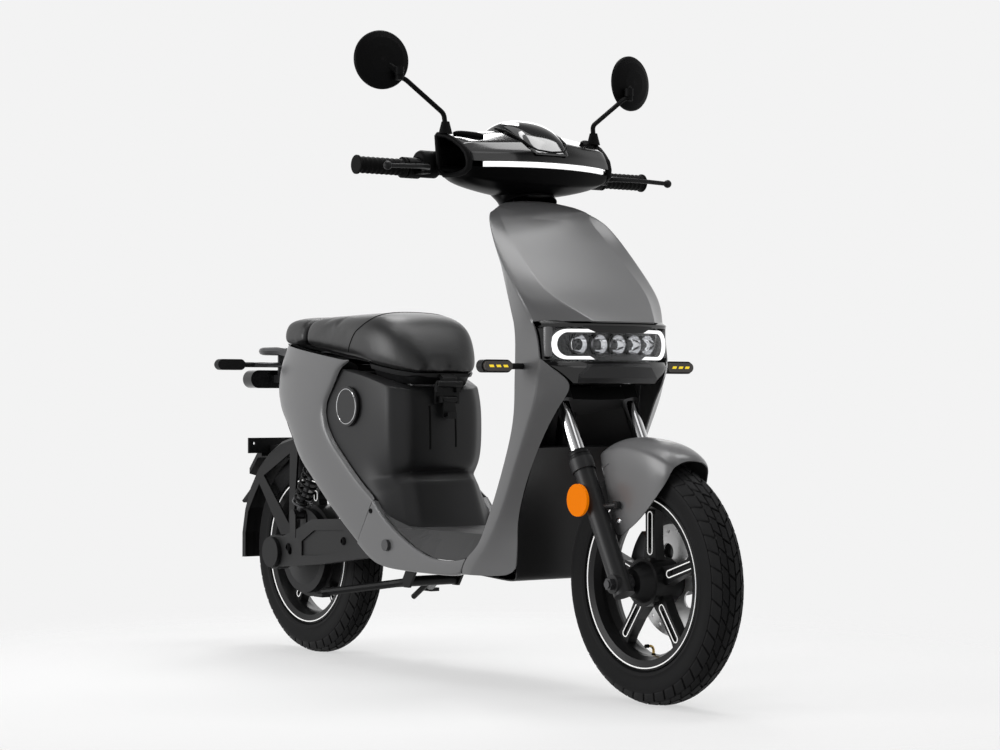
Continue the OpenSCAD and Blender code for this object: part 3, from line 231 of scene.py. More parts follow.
@dataclass
class Panel:
    """A moulded panel: a grid of points with creases, rounded by subdivision and given a thickness."""

    name: str
    rows: Rows
    thick: float
    levels: int
    inside: Point
    row_creases: dict[int, float] = field(default_factory=dict)
    col_creases: dict[int, float] = field(default_factory=dict)
    keep: Callable[[int, int], bool] | None = None
    closed: bool = False
    sharp: float = 35.0
    # Crease from which an edge is shaded as a hard line
    crisp: float = 0.9

    def build(self) -> Piece:
        """Make the panel's mesh."""
        n = len(self.rows[0])
        faces = [
            f for f in quads(len(self.rows), n, False, self.closed) if self.keep is None or self.keep(*divmod(f[0], n))
        ]
        piece = make(self.name, [p for row in self.rows for p in row], faces)
        self.crease(piece, n)
        face_out(piece, self.inside)
        soften(piece, self.levels)
        wall = piece.modifiers.new("wall", "SOLIDIFY")
        wall.thickness = self.thick * MM
        wall.offset = -1.0
        wall.use_even_offset = True
        return freeze(piece, self.sharp)

    def crease(self, piece: Piece, n: int) -> None:
        """Write the creases on the grid's edges and drop points that no face uses.

        Args:
            piece: Panel before subdivision.
            n: Points in a row.
        """
        with edited(piece) as work:
            layer = write_creases(work, n, self.row_creases, self.col_creases)
            for edge in work.edges:
                edge.smooth = edge[layer] < self.crisp
            loose = [v for v in work.verts if not v.link_faces]
            bmesh.ops.delete(work, geom=loose, context="VERTS")


def loft(
    name: str, rings: Rows, levels: int = 0, creases: dict[int, float] | None = None, ring: bool = False,
    angle: float = 35.0,
) -> Piece:
    """A closed body through rings of points.

    Args:
        name: Name of the piece.
        rings: Rings with the same number of points, in millimetres.
        levels: Subdivision levels.
        creases: Crease of each ring that keeps an edge.
        ring: Whether the last ring meets the first.
        angle: Edges that turn by more degrees stay sharp.

    Returns:
        The frozen piece.
    """
    n, count = len(rings[0]), len(rings)
    faces = quads(count, n, ring, True)
    if not ring:
        faces += [range(n), range((count - 1) * n, count * n)]
    piece = make(name, [p for r in rings for p in r], [list(f) for f in faces])
    if creases:
        with edited(piece) as work:
            write_creases(work, n, creases, {})
    face_out(piece)
    if levels:
        soften(piece, levels)
    return freeze(piece, angle)


def sweep(
    name: str, path: Sequence[Sequence[float]], radius: float | Sequence[float], sides: int = 14,
    up: Point = (0.0, 0.0, 1.0), flat: float = 1.0, ring: bool = False,
) -> Piece:
    """A bar that follows a path.

    Args:
        name: Name of the piece.
        path: Points in millimetres.
        radius: One radius, or one for each point.
        sides: Corners of the section.
        up: Direction that the section's height follows.
        flat: Share of the radius across the height.
        ring: Whether the path closes on itself.

    Returns:
        The frozen piece.
    """
    points = [Vector(p) for p in path]
    count = len(points)
    turns = [2 * math.pi * k / sides for k in range(sides)]
    rings = []
    for i, p in enumerate(points):
        before = points[i - 1] if i or ring else p
        after = points[(i + 1) % count] if i < count - 1 or ring else p
        ahead = (after - before).normalized()
        side = ahead.cross(Vector(up)).normalized()
        rise = side.cross(ahead)
        r = radius if isinstance(radius, (int, float)) else radius[i]
        rings.append([p + side * (r * math.cos(a)) + rise * (r * flat * math.sin(a)) for a in turns])
    return loft(name, rings, ring=ring, angle=40.0)


def turned(
    name: str, profile: Sequence[Pair], centre: Point, segments: int, axis: str = "Y", angle: float = 35.0
) -> Piece:
    """A body of revolution.

    Args:
        name: Name of the piece.
        profile: Closed outline of radius and place along the axis.
        centre: Point of the axis where the place is zero.
        segments: Steps round the axis.
        axis: X or Y.
        angle: Edges that turn by more degrees stay sharp.

    Returns:
        The frozen piece.
    """
    rings = []
    for k in range(segments):
        a = 2 * math.pi * k / segments
        spun = [(r * math.cos(a), d, r * math.sin(a)) for r, d in profile]
        offsets = spun if axis == "Y" else [(d, u, v) for u, d, v in spun]
        rings.append([tuple(c + o for c, o in zip(centre, offset)) for offset in offsets])
    return loft(name, rings, ring=True, angle=angle)


def joined(name: str, pieces: Sequence[Piece]) -> Piece:
    """Join several meshes into one piece.

    Args:
        name: Name of the new piece.
        pieces: Objects whose meshes are merged and which are then removed.

    Returns:
        The new object.
    """
    work = bmesh.new()
    for p in pieces:
        work.from_mesh(p.data)
    mesh = bpy.data.meshes.new(name)
    work.to_mesh(mesh)
    work.free()
    for p in pieces:
        old = p.data
        bpy.data.objects.remove(p)
        bpy.data.meshes.remove(old)
    mesh.shade_smooth()
    mesh.set_sharp_from_angle(angle=math.radians(35))
    return link(name, mesh)


def mirrored(piece: Piece, name: str) -> Piece:
    """A copy of a piece on the other side of the machine.

    Args:
        piece: Object to copy.
        name: Name of the copy.

    Returns:
        The copy, with its faces turned the right way.
    """
    mesh = piece.data.copy()
    mesh.transform(Matrix.Diagonal((1, -1, 1, 1)))
    mesh.flip_normals()
    return link(name, mesh)


def snapped(piece: Piece, path: Sequence[Point], steps: int = 24, lift: float = 0.0) -> list[Point]:
    """A path laid on the surface of a piece.

    Args:
        piece: Object with the surface.
        path: Knots of the path in millimetres.
        steps: Parts that the path is cut into.
        lift: Height over the surface.

    Returns:
        Points on the surface.
    """
    laid = []
    for i in range(steps + 1):
        _, place, normal, _ = piece.closest_point_on_mesh(Vector(along(path, i / steps)) * MM)
        laid.append(tuple(c / MM + lift * n for c, n in zip(place, normal)))
    return laid


def both(name: str, piece: Piece) -> Piece:
    """A piece joined with its copy on the other side."""
    return joined(name, [piece, mirrored(piece, f"{name}_copy")])


def set_inputs(tree: Tree, node: bpy.types.Node, values: dict[str | int, Any]) -> None:
    """Set the inputs of a node.

    Args:
        tree: Tree that holds the node.
        node: Node to set.
        values: Constant, or socket to link from, for each input.
    """
    for label, value in values.items():
        if isinstance(value, bpy.types.NodeSocket):
            tree.links.new(value, node.inputs[label])
        else:
            node.inputs[label].default_value = value


def add_node(tree: Tree, kind: str, values: dict[str | int, Any] | None = None, **settings: Any) -> bpy.types.Node:
    """Add a shader node.

    Args:
        tree: Tree that gets the node.
        kind: Its type, without the leading ShaderNode.
        values: Constant, or socket to link from, for each input.
        settings: Attributes of the node.

    Returns:
        The node.
    """
    node = tree.nodes.new(f"ShaderNode{kind}")
    for label, value in settings.items():
        setattr(node, label, value)
    set_inputs(tree, node, values or {})
    return node


def opaque(colour: Sequence[float]) -> tuple[float, ...]:
    """A colour with full alpha, held to the range of the sockets."""
    return (*[min(1.0, c) for c in colour], 1)


class Relief(Enum):
    """Fine surface of a finish."""

    PEEL = "orange_peel"
    MOULDED = "moulded_grain"
    PEBBLE = "vinyl_pebble"
    BRUSHED = "brushed_metal"


class Groups:
    """Shader node groups that the finishes share."""

    def __init__(self) -> None:
        """Build the groups once."""
        slow = {"Scale": 7.0, "Detail": 3.0}
        self.reliefs: dict[Relief, Tree] = {
            Relief.PEEL: self.relief(Relief.PEEL, "TexNoise", {"Scale": 140.0, "Detail": 2.0}, slow),
            Relief.MOULDED: self.relief(Relief.MOULDED, "TexNoise", {"Scale": 1100.0, "Detail": 4.0}, slow),
            Relief.BRUSHED: self.relief(
                Relief.BRUSHED, "TexNoise", {"Scale": 500.0, "Detail": 3.0}, slow, (0.06, 1, 1)
            ),
            Relief.PEBBLE: self.relief(
                Relief.PEBBLE, "TexVoronoi", {"Scale": 520.0}, {"Scale": 9.0}, feature="SMOOTH_F1"
            ),
        }
        self.wear_sheen = self.wear_sheen_edges()

    @staticmethod
    def start(name: str, outputs: Sequence[str]) -> tuple[Tree, bpy.types.Node, bpy.types.NodeSocket]:
        """Open a group with float outputs.

        Args:
            name: Name of the group.
            outputs: Names of its outputs.

        Returns:
            The group, its output node and the socket of its amount.
        """
        tree = bpy.data.node_groups.new(name, "ShaderNodeTree")
        tree.interface.new_socket("Amount", in_out="INPUT", socket_type="NodeSocketFloat").default_value = 1.0
        for label in outputs:
            tree.interface.new_socket(label, in_out="OUTPUT", socket_type="NodeSocketFloat")
        return tree, tree.nodes.new("NodeGroupOutput"), tree.nodes.new("NodeGroupInput").outputs["Amount"]

    def relief(
        self, kind: Relief, texture: str, bumps: dict[str, float], slow: dict[str, float], stretch: Point = (1, 1, 1),
        **settings: str,
    ) -> Tree:
        """Fine bumps and a slow drift of tone.

        Args:
            kind: Relief that the group makes.
            texture: Node type of the bumps.
            bumps: Inputs of that node.
            slow: Inputs of the drift's noise.
            stretch: Scale of each axis for the bumps.
            settings: Attributes of the bumps' node.

        Returns:
            The group.
        """
        tree, out, amount = self.start(kind.value, ("Height", "Drift"))
        place = add_node(tree, "TexCoord").outputs["Object"]
        drawn = add_node(tree, "Mapping", {"Vector": place, "Scale": stretch}).outputs["Vector"]
        fine = add_node(tree, texture, {"Vector": drawn, **bumps}, **settings).outputs[0]
        height = add_node(tree, "Math", {0: fine, 1: amount}, operation="MULTIPLY").outputs[0]
        drift = add_node(tree, "TexNoise", {"Vector": place, **slow}).outputs["Fac"]
        set_inputs(tree, out, {"Height": height, "Drift": drift})
        return tree

    def wear_sheen_edges(self) -> Tree:
        """Mask of the sharp corners, lightened partly as wear and partly as a painted sheen."""
        tree, out, amount = self.start("wear_sheen_edges", ("Mask",))
        corner = add_node(tree, "NewGeometry").outputs["Pointiness"]
        sharp = add_node(tree, "MapRange", {"Value": corner, "From Min": 0.52, "From Max": 0.62}).outputs["Result"]
        mask = add_node(tree, "Math", {0: sharp, 1: amount}, operation="MULTIPLY").outputs[0]
        set_inputs(tree, out, {"Mask": mask})
        return tree


@dataclass(frozen=True)
class Finish:
    """One finish: its colour, gloss and fine surface."""

    name: str
    colour: Point
    rough: float
    relief: Relief = Relief.MOULDED
    bump: float = 0.08
    depth: float = 0.0004
    drift: float = 0.12
    # Share of the edge lightening, which is partly wear and partly a painted sheen on sharp corners
    edge_wear_sheen: float = 0.0
    metal: float = 0.0
    coat: float = 0.0
    coat_rough: float = 0.08
    specular: float = 0.5
    sheen: float = 0.0
    glow: float = 0.0
    glass: float = 0.0
    ior: float = 1.5

    def material(self, groups: Groups) -> bpy.types.Material:
        """Build the node material.

        Args:
            groups: Shared node groups.

        Returns:
            The material.
        """
        name = f"{self.name}_finish"
        found = bpy.data.materials.get(name)
        if found:
            return found
        paint = bpy.data.materials.new(name)
        paint.use_nodes = True
        tree = paint.node_tree
        relief = add_node(tree, "Group", node_tree=groups.reliefs[self.relief])
        drift = relief.outputs["Drift"]
        gloss = {"To Min": self.rough * (1 - 0.5 * self.drift), "To Max": min(1.0, self.rough * (1 + 0.5 * self.drift))}
        values = self.constants()
        values["Base Color"] = self.tone(tree, groups, drift)
        values["Roughness"] = add_node(tree, "MapRange", {"Value": drift, **gloss}).outputs["Result"]
        if self.bump:
            grain = {"Strength": self.bump, "Distance": self.depth, "Height": relief.outputs["Height"]}
            values["Normal"] = add_node(tree, "Bump", grain).outputs["Normal"]
        set_inputs(tree, tree.nodes["Principled BSDF"], values)
        return paint

    def constants(self) -> dict[str | int, Any]:
        """What is the same all over, for the shader's own sockets."""
        values = {
            "Metallic": self.metal, "Coat Weight": self.coat, "Coat Roughness": self.coat_rough,
            "Specular IOR Level": self.specular, "Sheen Weight": self.sheen, "Transmission Weight": self.glass,
            "IOR": self.ior,
        }
        if self.glow:
            values |= {"Emission Color": opaque(self.colour), "Emission Strength": self.glow}
        return values

    def tone(self, tree: Tree, groups: Groups, drift: bpy.types.NodeSocket) -> bpy.types.NodeSocket:
        """Let the colour drift and lighten the sharp edges, partly as wear and partly as a painted sheen.

        Args:
            tree: Node tree of the material.
            groups: Shared node groups.
            drift: Slow change of tone.

        Returns:
            Socket with the colour.
        """
        light, dark = (opaque([c * (1 + sign * self.drift) for c in self.colour]) for sign in (1, -1))
        base = add_node(tree, "Mix", {0: drift, 6: light, 7: dark}, data_type="RGBA").outputs[2]
        if not self.edge_wear_sheen:
            return base
        # Sharp corners lightened, partly as wear and partly as a painted sheen
        mask = add_node(tree, "Group", {"Amount": self.edge_wear_sheen}, node_tree=groups.wear_sheen).outputs["Mask"]
        worn_sheen = opaque([1.8 * c + 0.02 for c in self.colour])
        return add_node(tree, "Mix", {0: mask, 6: base, 7: worn_sheen}, data_type="RGBA").outputs[2]


GREY_PAINT = Finish(
    "grey_paint", (0.165, 0.165, 0.168), 0.36, Relief.PEEL, 0.03, 0.0003, 0.04, coat=0.55, coat_rough=0.24,
    specular=0.25,
)
BLACK_PLASTIC = Finish("black_plastic", (0.026, 0.026, 0.027), 0.44, bump=0.14, edge_wear_sheen=0.2, specular=0.25)
SATIN_BLACK = Finish("satin_black", (0.010, 0.010, 0.0105), 0.4, bump=0.1, edge_wear_sheen=0.25, specular=0.16)
MATT_BLACK = Finish("matt_black", (0.0035, 0.0035, 0.0037), 0.5, bump=0.1, edge_wear_sheen=0.2, specular=0.05)
BOAT_BLACK = Finish("boat_black", (0.004, 0.004, 0.0043), 0.3, Relief.PEEL, 0.02, 0.0002, edge_wear_sheen=0.2, specular=0.03)
GLOSS_BLACK = Finish(
    "gloss_black", (0.004, 0.004, 0.0044), 0.14, Relief.PEEL, 0.02, 0.0002, edge_wear_sheen=0.1, coat=0.4, specular=0.3
)
FRAME_BLACK = Finish("frame_black", (0.009, 0.009, 0.0095), 0.42, Relief.PEEL, 0.06, edge_wear_sheen=0.25, specular=0.16)
SLIDER_BLACK = Finish("slider_black", (0.024, 0.024, 0.025), 0.4, Relief.PEEL, 0.06, edge_wear_sheen=0.2, specular=0.25)
ARM_GREY = Finish("arm_grey", (0.014, 0.014, 0.0145), 0.44, Relief.MOULDED, 0.14, edge_wear_sheen=0.3, specular=0.22)
RIM_BLACK = Finish("rim_black", (0.013, 0.013, 0.0135), 0.34, Relief.PEEL, 0.05, edge_wear_sheen=0.25, specular=0.16)
MOTOR_BLACK = Finish("motor_black", (0.011, 0.011, 0.012), 0.45, Relief.MOULDED, 0.2, specular=0.2)
BRIGHT_STEEL = Finish("bright_steel", (0.62, 0.62, 0.62), 0.24, Relief.BRUSHED, 0.05, metal=1.0)
DISC_STEEL = Finish("disc_steel", (0.9, 0.9, 0.9), 0.42, Relief.BRUSHED, 0.05, metal=0.3)
DARK_STEEL = Finish("dark_steel", (0.07, 0.07, 0.073), 0.34, Relief.BRUSHED, 0.06, edge_wear_sheen=0.3, metal=0.7)
CHROME = Finish("chrome_tube", (0.72, 0.72, 0.73), 0.1, Relief.BRUSHED, 0.02, drift=0.03, metal=1.0)
GRIP_RUBBER = Finish("grip_rubber", (0.005, 0.005, 0.005), 0.6, Relief.MOULDED, 0.25, edge_wear_sheen=0.2, specular=0.06)
MAT_RUBBER = Finish("mat_rubber", (0.055, 0.055, 0.056), 0.6, Relief.MOULDED, 0.3, edge_wear_sheen=0.3, specular=0.25)
TYRE_RUBBER = Finish("tyre_rubber", (0.014, 0.014, 0.0145), 0.6, Relief.MOULDED, 0.25, edge_wear_sheen=0.4, specular=0.08)
SEAT_VINYL = Finish(
    "seat_vinyl", (0.015, 0.015, 0.0155), 0.42, Relief.PEBBLE, 0.2, 0.0006, 0.1, specular=0.5, sheen=0.03
)
# Dark seams and joints; laid in the seat box's grooves the same finish is painted shade
SEAM_AND_SHADE_BLACK = Finish("seam_and_shade_black", (0.004, 0.004, 0.004), 0.7, specular=0.1)
CLEAR_LENS = Finish(
    "clear_lens", (0.94, 0.95, 0.96), 0.03, Relief.PEEL, 0.0, drift=0.0, glass=1.0, specular=0.3, ior=1.2
)
WHITE_LIGHT = Finish("white_light", (1.0, 1.0, 1.0), 0.4, Relief.PEEL, 0.0, drift=0.0, glow=1.0)
AMBER_LENS = Finish("amber_lens", (0.085, 0.075, 0.064), 0.22, Relief.PEEL, 0.03, coat=0.3, specular=0.3)
AMBER_LIGHT = Finish("amber_light", (0.90, 0.66, 0.03), 0.4, Relief.PEEL, 0.0, drift=0.0, glow=0.8)
RED_LENS = Finish("red_lens", (0.26, 0.010, 0.010), 0.2, Relief.PEEL, 0.03, specular=0.15)
# Fork reflectors with an emission that paints them as if they threw back light: painted glow
ORANGE_REFLECTOR_PAINTED_GLOW = Finish(
    "orange_reflector", (0.85, 0.20, 0.0), 0.4, Relief.PEBBLE, 0.3, drift=0.06, specular=0.06, glow=0.42
)
DISPLAY_GLOSS = Finish("display_gloss", (0.010, 0.010, 0.011), 0.07, Relief.PEEL, 0.0, coat=0.6, specular=0.5)
RED_BUTTON = Finish("red_button", (0.32, 0.02, 0.015), 0.4, bump=0.05)
BATTERY_CASE = Finish("battery_case", (0.03, 0.03, 0.032), 0.5, bump=0.2)
# White pin stripes with an emission that paints them brighter than the lamps light them: painted glow
WHITE_STRIPE_PAINTED_GLOW = Finish("white_stripe_painted_glow", (0.86, 0.86, 0.85), 0.4, Relief.PEEL, 0.02, drift=0.02, glow=0.6)
MIRROR_GLASS = Finish("mirror_glass", (0.8, 0.82, 0.84), 0.02, Relief.PEEL, 0.0, drift=0.0, metal=1.0)
BRASS = Finish("brass_valve", (0.62, 0.42, 0.14), 0.3, Relief.BRUSHED, 0.05, metal=1.0)


@dataclass
class Workshop:
    """Hands out materials and puts pieces on the CAD bodies."""

    groups: Groups = field(default_factory=Groups)

    def paint(self, piece: Piece, finish: Finish) -> None:
        """Give a piece one finish all over."""
        piece.data.materials.clear()
        piece.data.materials.append(finish.material(self.groups))

    def dress(self, piece: Piece, finish: Finish, body: str, node: str = "") -> Piece:
        """Give a piece its finish and its body.

        Args:
            piece: New piece in place.
            finish: Finish of its surface.
            body: CAD body that it rides on.
            node: CAD node that it stands for.

        Returns:
            The piece.
        """
        self.paint(piece, finish)
        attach(piece, body)
        if node:
            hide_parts(node)
        LOG.info("%s rides on %s", piece.name, body)
        return piece

    def repaint(self, node: str, finish: Finish) -> None:
        """Give a CAD node that stays in view its finish."""
        self.paint(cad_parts[node], finish)
        LOG.info("%s shows its CAD solid", node)


@dataclass
class Stage:
    """Floor, world, lamps and camera."""

    backdrop: float = 0.896
    # Tone of the dark ceiling over the pale backdrop, and the share of the height where the one turns into the other
    ceiling: float = 0.1
    ceiling_from: float = 0.3
    ceiling_to: float = 0.8
    # Strength of the light from all round
    ambient: float = 0.2
    camera_at: Point = (4.2308, -2.957, 0.580)
    camera_turn: float = 54.1
    lens: float = 88.16
    sensor: float = 36.0
    rise: float = 0.023
    # Floor as the camera sees it, the part of it that no shadow darkens, and its tone for bounced light
    paper: float = 0.42
    paper_glow: float = 0.56
    bounce: float = 0.2
    # Half the floor's side in millimetres, and the distances in metres between which it fades away
    floor_half: float = 6000.0
    fade_from: float = 0.7
    fade_to: float = 1.9

    # Name, place, point faced, size and power of each soft box
    lamps: tuple[tuple[str, Point, Point, Pair, float], ...] = (
        ("top_box", (0.2, -0.2, 3.4), (0.0, 0.0, 0.4), (3.2, 2.4), 24),
        ("side_box", (-1.3, -4.0, 1.4), (-0.3, 0.0, 0.6), (2.6, 1.6), 92),
        ("front_box", (4.0, 0.4, 2.6), (0.2, 0.0, 0.6), (1.6, 1.6), 10),
        ("rear_box", (-3.2, 2.4, 2.4), (-0.2, 0.0, 0.6), (2.0, 1.6), 18),
        ("sheen_box", (0.5, 1.35, 3.6), (0.35, 0.0, 0.95), (0.9, 1.4), 21),
        ("bar_box", (-1.7, 1.07, 3.27), (0.2, -0.1, 1.0), (0.9, 0.9), 30),
        ("strip_box", (0.0, -0.25, 3.35), (0.3, -0.2, 0.5), (1.8, 0.3), 14),
        ("brow_box", (2.3, 0.0, 3.3), (0.4, 0.0, 0.85), (1.3, 1.3), 6),
    )

    def build(self) -> None:
        """Set up everything that isn't the scooter."""
        bpy.context.scene.view_settings.view_transform = "Standard"
        self.aim_camera()
        self.light_world()
        self.lay_floor()
        for lamp in self.lamps:
            self.hang_lamp(*lamp)

    def aim_camera(self) -> None:
        """Stand the camera where the photograph was taken."""
        data = bpy.data.cameras.new("studio_camera")
        data.lens, data.sensor_width, data.shift_y = self.lens, self.sensor, self.rise
        camera = link("studio_camera", data)
        camera.location = self.camera_at
        camera.rotation_euler = (math.radians(90), 0.0, math.radians(self.camera_turn))
        bpy.context.scene.camera = camera

    def light_world(self) -> None:
        """Light softly from all round and show the pale backdrop under a dark ceiling."""
        world = bpy.data.worlds.new("studio")
        bpy.context.scene.world = world
        world.use_nodes = True
        tree = world.node_tree
        tree.nodes.clear()
        place = add_node(tree, "TexCoord").outputs["Generated"]
        limits = {
            "Value": add_node(tree, "SeparateXYZ", {0: place}).outputs["Z"],
            "From Min": self.ceiling_from, "From Max": self.ceiling_to,
            "To Min": self.backdrop, "To Max": self.ceiling,
        }
        sky = add_node(tree, "MapRange", limits, interpolation_type="SMOOTHSTEP").outputs["Result"]
        soft = add_node(tree, "Background", {"Strength": self.ambient})
        pale = add_node(tree, "Background", {"Color": (1, 1, 1, 1), "Strength": sky})
        pick = add_node(tree, "MixShader", {0: self.seen_rays(tree), 1: soft.outputs[0], 2: pale.outputs[0]})
        add_node(tree, "OutputWorld", {"Surface": pick.outputs[0]})

    @staticmethod
    def seen_rays(tree: Tree) -> bpy.types.NodeSocket:
        """Mask of camera, glossy and transmission rays.

        Args:
            tree: Node tree to add the mask to.

        Returns:
            Socket with the mask.
        """
        path = add_node(tree, "LightPath")
        last = path.outputs["Is Camera Ray"]
        for label in ("Is Glossy Ray", "Is Transmission Ray"):
            last = add_node(tree, "Math", {0: last, 1: path.outputs[label]}, operation="MAXIMUM").outputs[0]
        return last

    def lay_floor(self) -> None:
        """Lay a pale floor that fades into the backdrop away from the scooter."""
        h = self.floor_half
        floor = make("studio_floor", [(-h, -h, 0), (h, -h, 0), (h, h, 0), (-h, h, 0)], [(0, 1, 2, 3)])
        paper = bpy.data.materials.new("pale_paper")
        paper.use_nodes = True
        tree = paper.node_tree
        shader = tree.nodes["Principled BSDF"]
        set_inputs(tree, shader, {
            "Roughness": 0.9, "Specular IOR Level": 0.0, "Base Color": opaque([self.paper] * 3),
            "Emission Color": (1, 1, 1, 1), "Emission Strength": self.paper_glow,
        })
        dull = add_node(tree, "BsdfDiffuse", {"Color": opaque([self.bounce] * 3)})
        seen = add_node(tree, "MixShader", {0: self.seen_rays(tree), 1: dull.outputs[0], 2: shader.outputs[0]})
        place = add_node(tree, "TexCoord").outputs["Object"]
        reach = add_node(tree, "VectorMath", {0: place}, operation="LENGTH").outputs["Value"]
        limits = {"Value": reach, "From Min": self.fade_from, "From Max": self.fade_to}
        fade = add_node(tree, "MapRange", limits, interpolation_type="SMOOTHERSTEP").outputs["Result"]
        clear = add_node(tree, "BsdfTransparent")
        blend = add_node(tree, "MixShader", {0: fade, 1: seen.outputs[0], 2: clear.outputs[0]})
        set_inputs(tree, tree.nodes["Material Output"], {"Surface": blend.outputs[0]})
        floor.data.materials.append(paper)

    @staticmethod
    def hang_lamp(name: str, at: Point, to: Point, size: Pair, power: float) -> None:
        """Hang a soft box.

        Args:
            name: Name of the lamp.
            at: Its place in metres.
            to: Point that it faces.
            size: Its width and height in metres.
            power: Its power in watts.
        """
        data = bpy.data.lights.new(name, "AREA")
        data.shape = "RECTANGLE"
        data.size, data.size_y = size
        data.energy = power
        lamp = link(name, data)
        lamp.location = at
        lamp.rotation_euler = (Vector(to) - Vector(at)).to_track_quat("-Z", "Y").to_euler()


@dataclass
class Solids:
    """CAD nodes that stay in view, with their finishes."""

    finishes: dict[Finish, tuple[str, ...]] = field(
        default_factory=lambda: {
            FRAME_BLACK: (
                "main_frame", "seat_hinge_bracket", "centre_stand", "steering_stem", "handlebar", "brake_lever_right",
                "brake_lever_left", "rear_axle", "shock_bodies",
            ),
            SATIN_BLACK: ("indicator_bodies", "bag_hook", "horn_button", "rear_fender"),
            MATT_BLACK: ("switch_pods", "mirror_stems", "mirror_head_right", "mirror_head_left"),
            BLACK_PLASTIC: ("side_caps",),
            GLOSS_BLACK: ("tail_light",),
            SLIDER_BLACK: ("fork_sliders",),
            RIM_BLACK: ("front_rim", "rear_rim"),
            MOTOR_BLACK: ("hub_motor",),
            ARM_GREY: ("swingarm",),
            DARK_STEEL: ("rear_rack", "swingarm_bolt", "front_axle", "front_caliper", "shock_rods"),
            BRIGHT_STEEL: ("head_bearings",),
            DISC_STEEL: ("front_disc",),
            CHROME: ("stanchions",),
            MAT_RUBBER: ("footboard",),
            GRIP_RUBBER: ("left_grip", "throttle_grip"),
            BATTERY_CASE: ("battery",),
            RED_BUTTON: ("start_button",),
            AMBER_LENS: ("indicator_lenses",),
            RED_LENS: ("tail_lens",),
            ORANGE_REFLECTOR_PAINTED_GLOW: ("fork_reflectors",),
        }
    )

    def build(self, shop: Workshop) -> None:
        """Paint every CAD node that no new piece stands for."""
        for finish, nodes in self.finishes.items():
            for node in nodes:
                shop.repaint(node, finish)


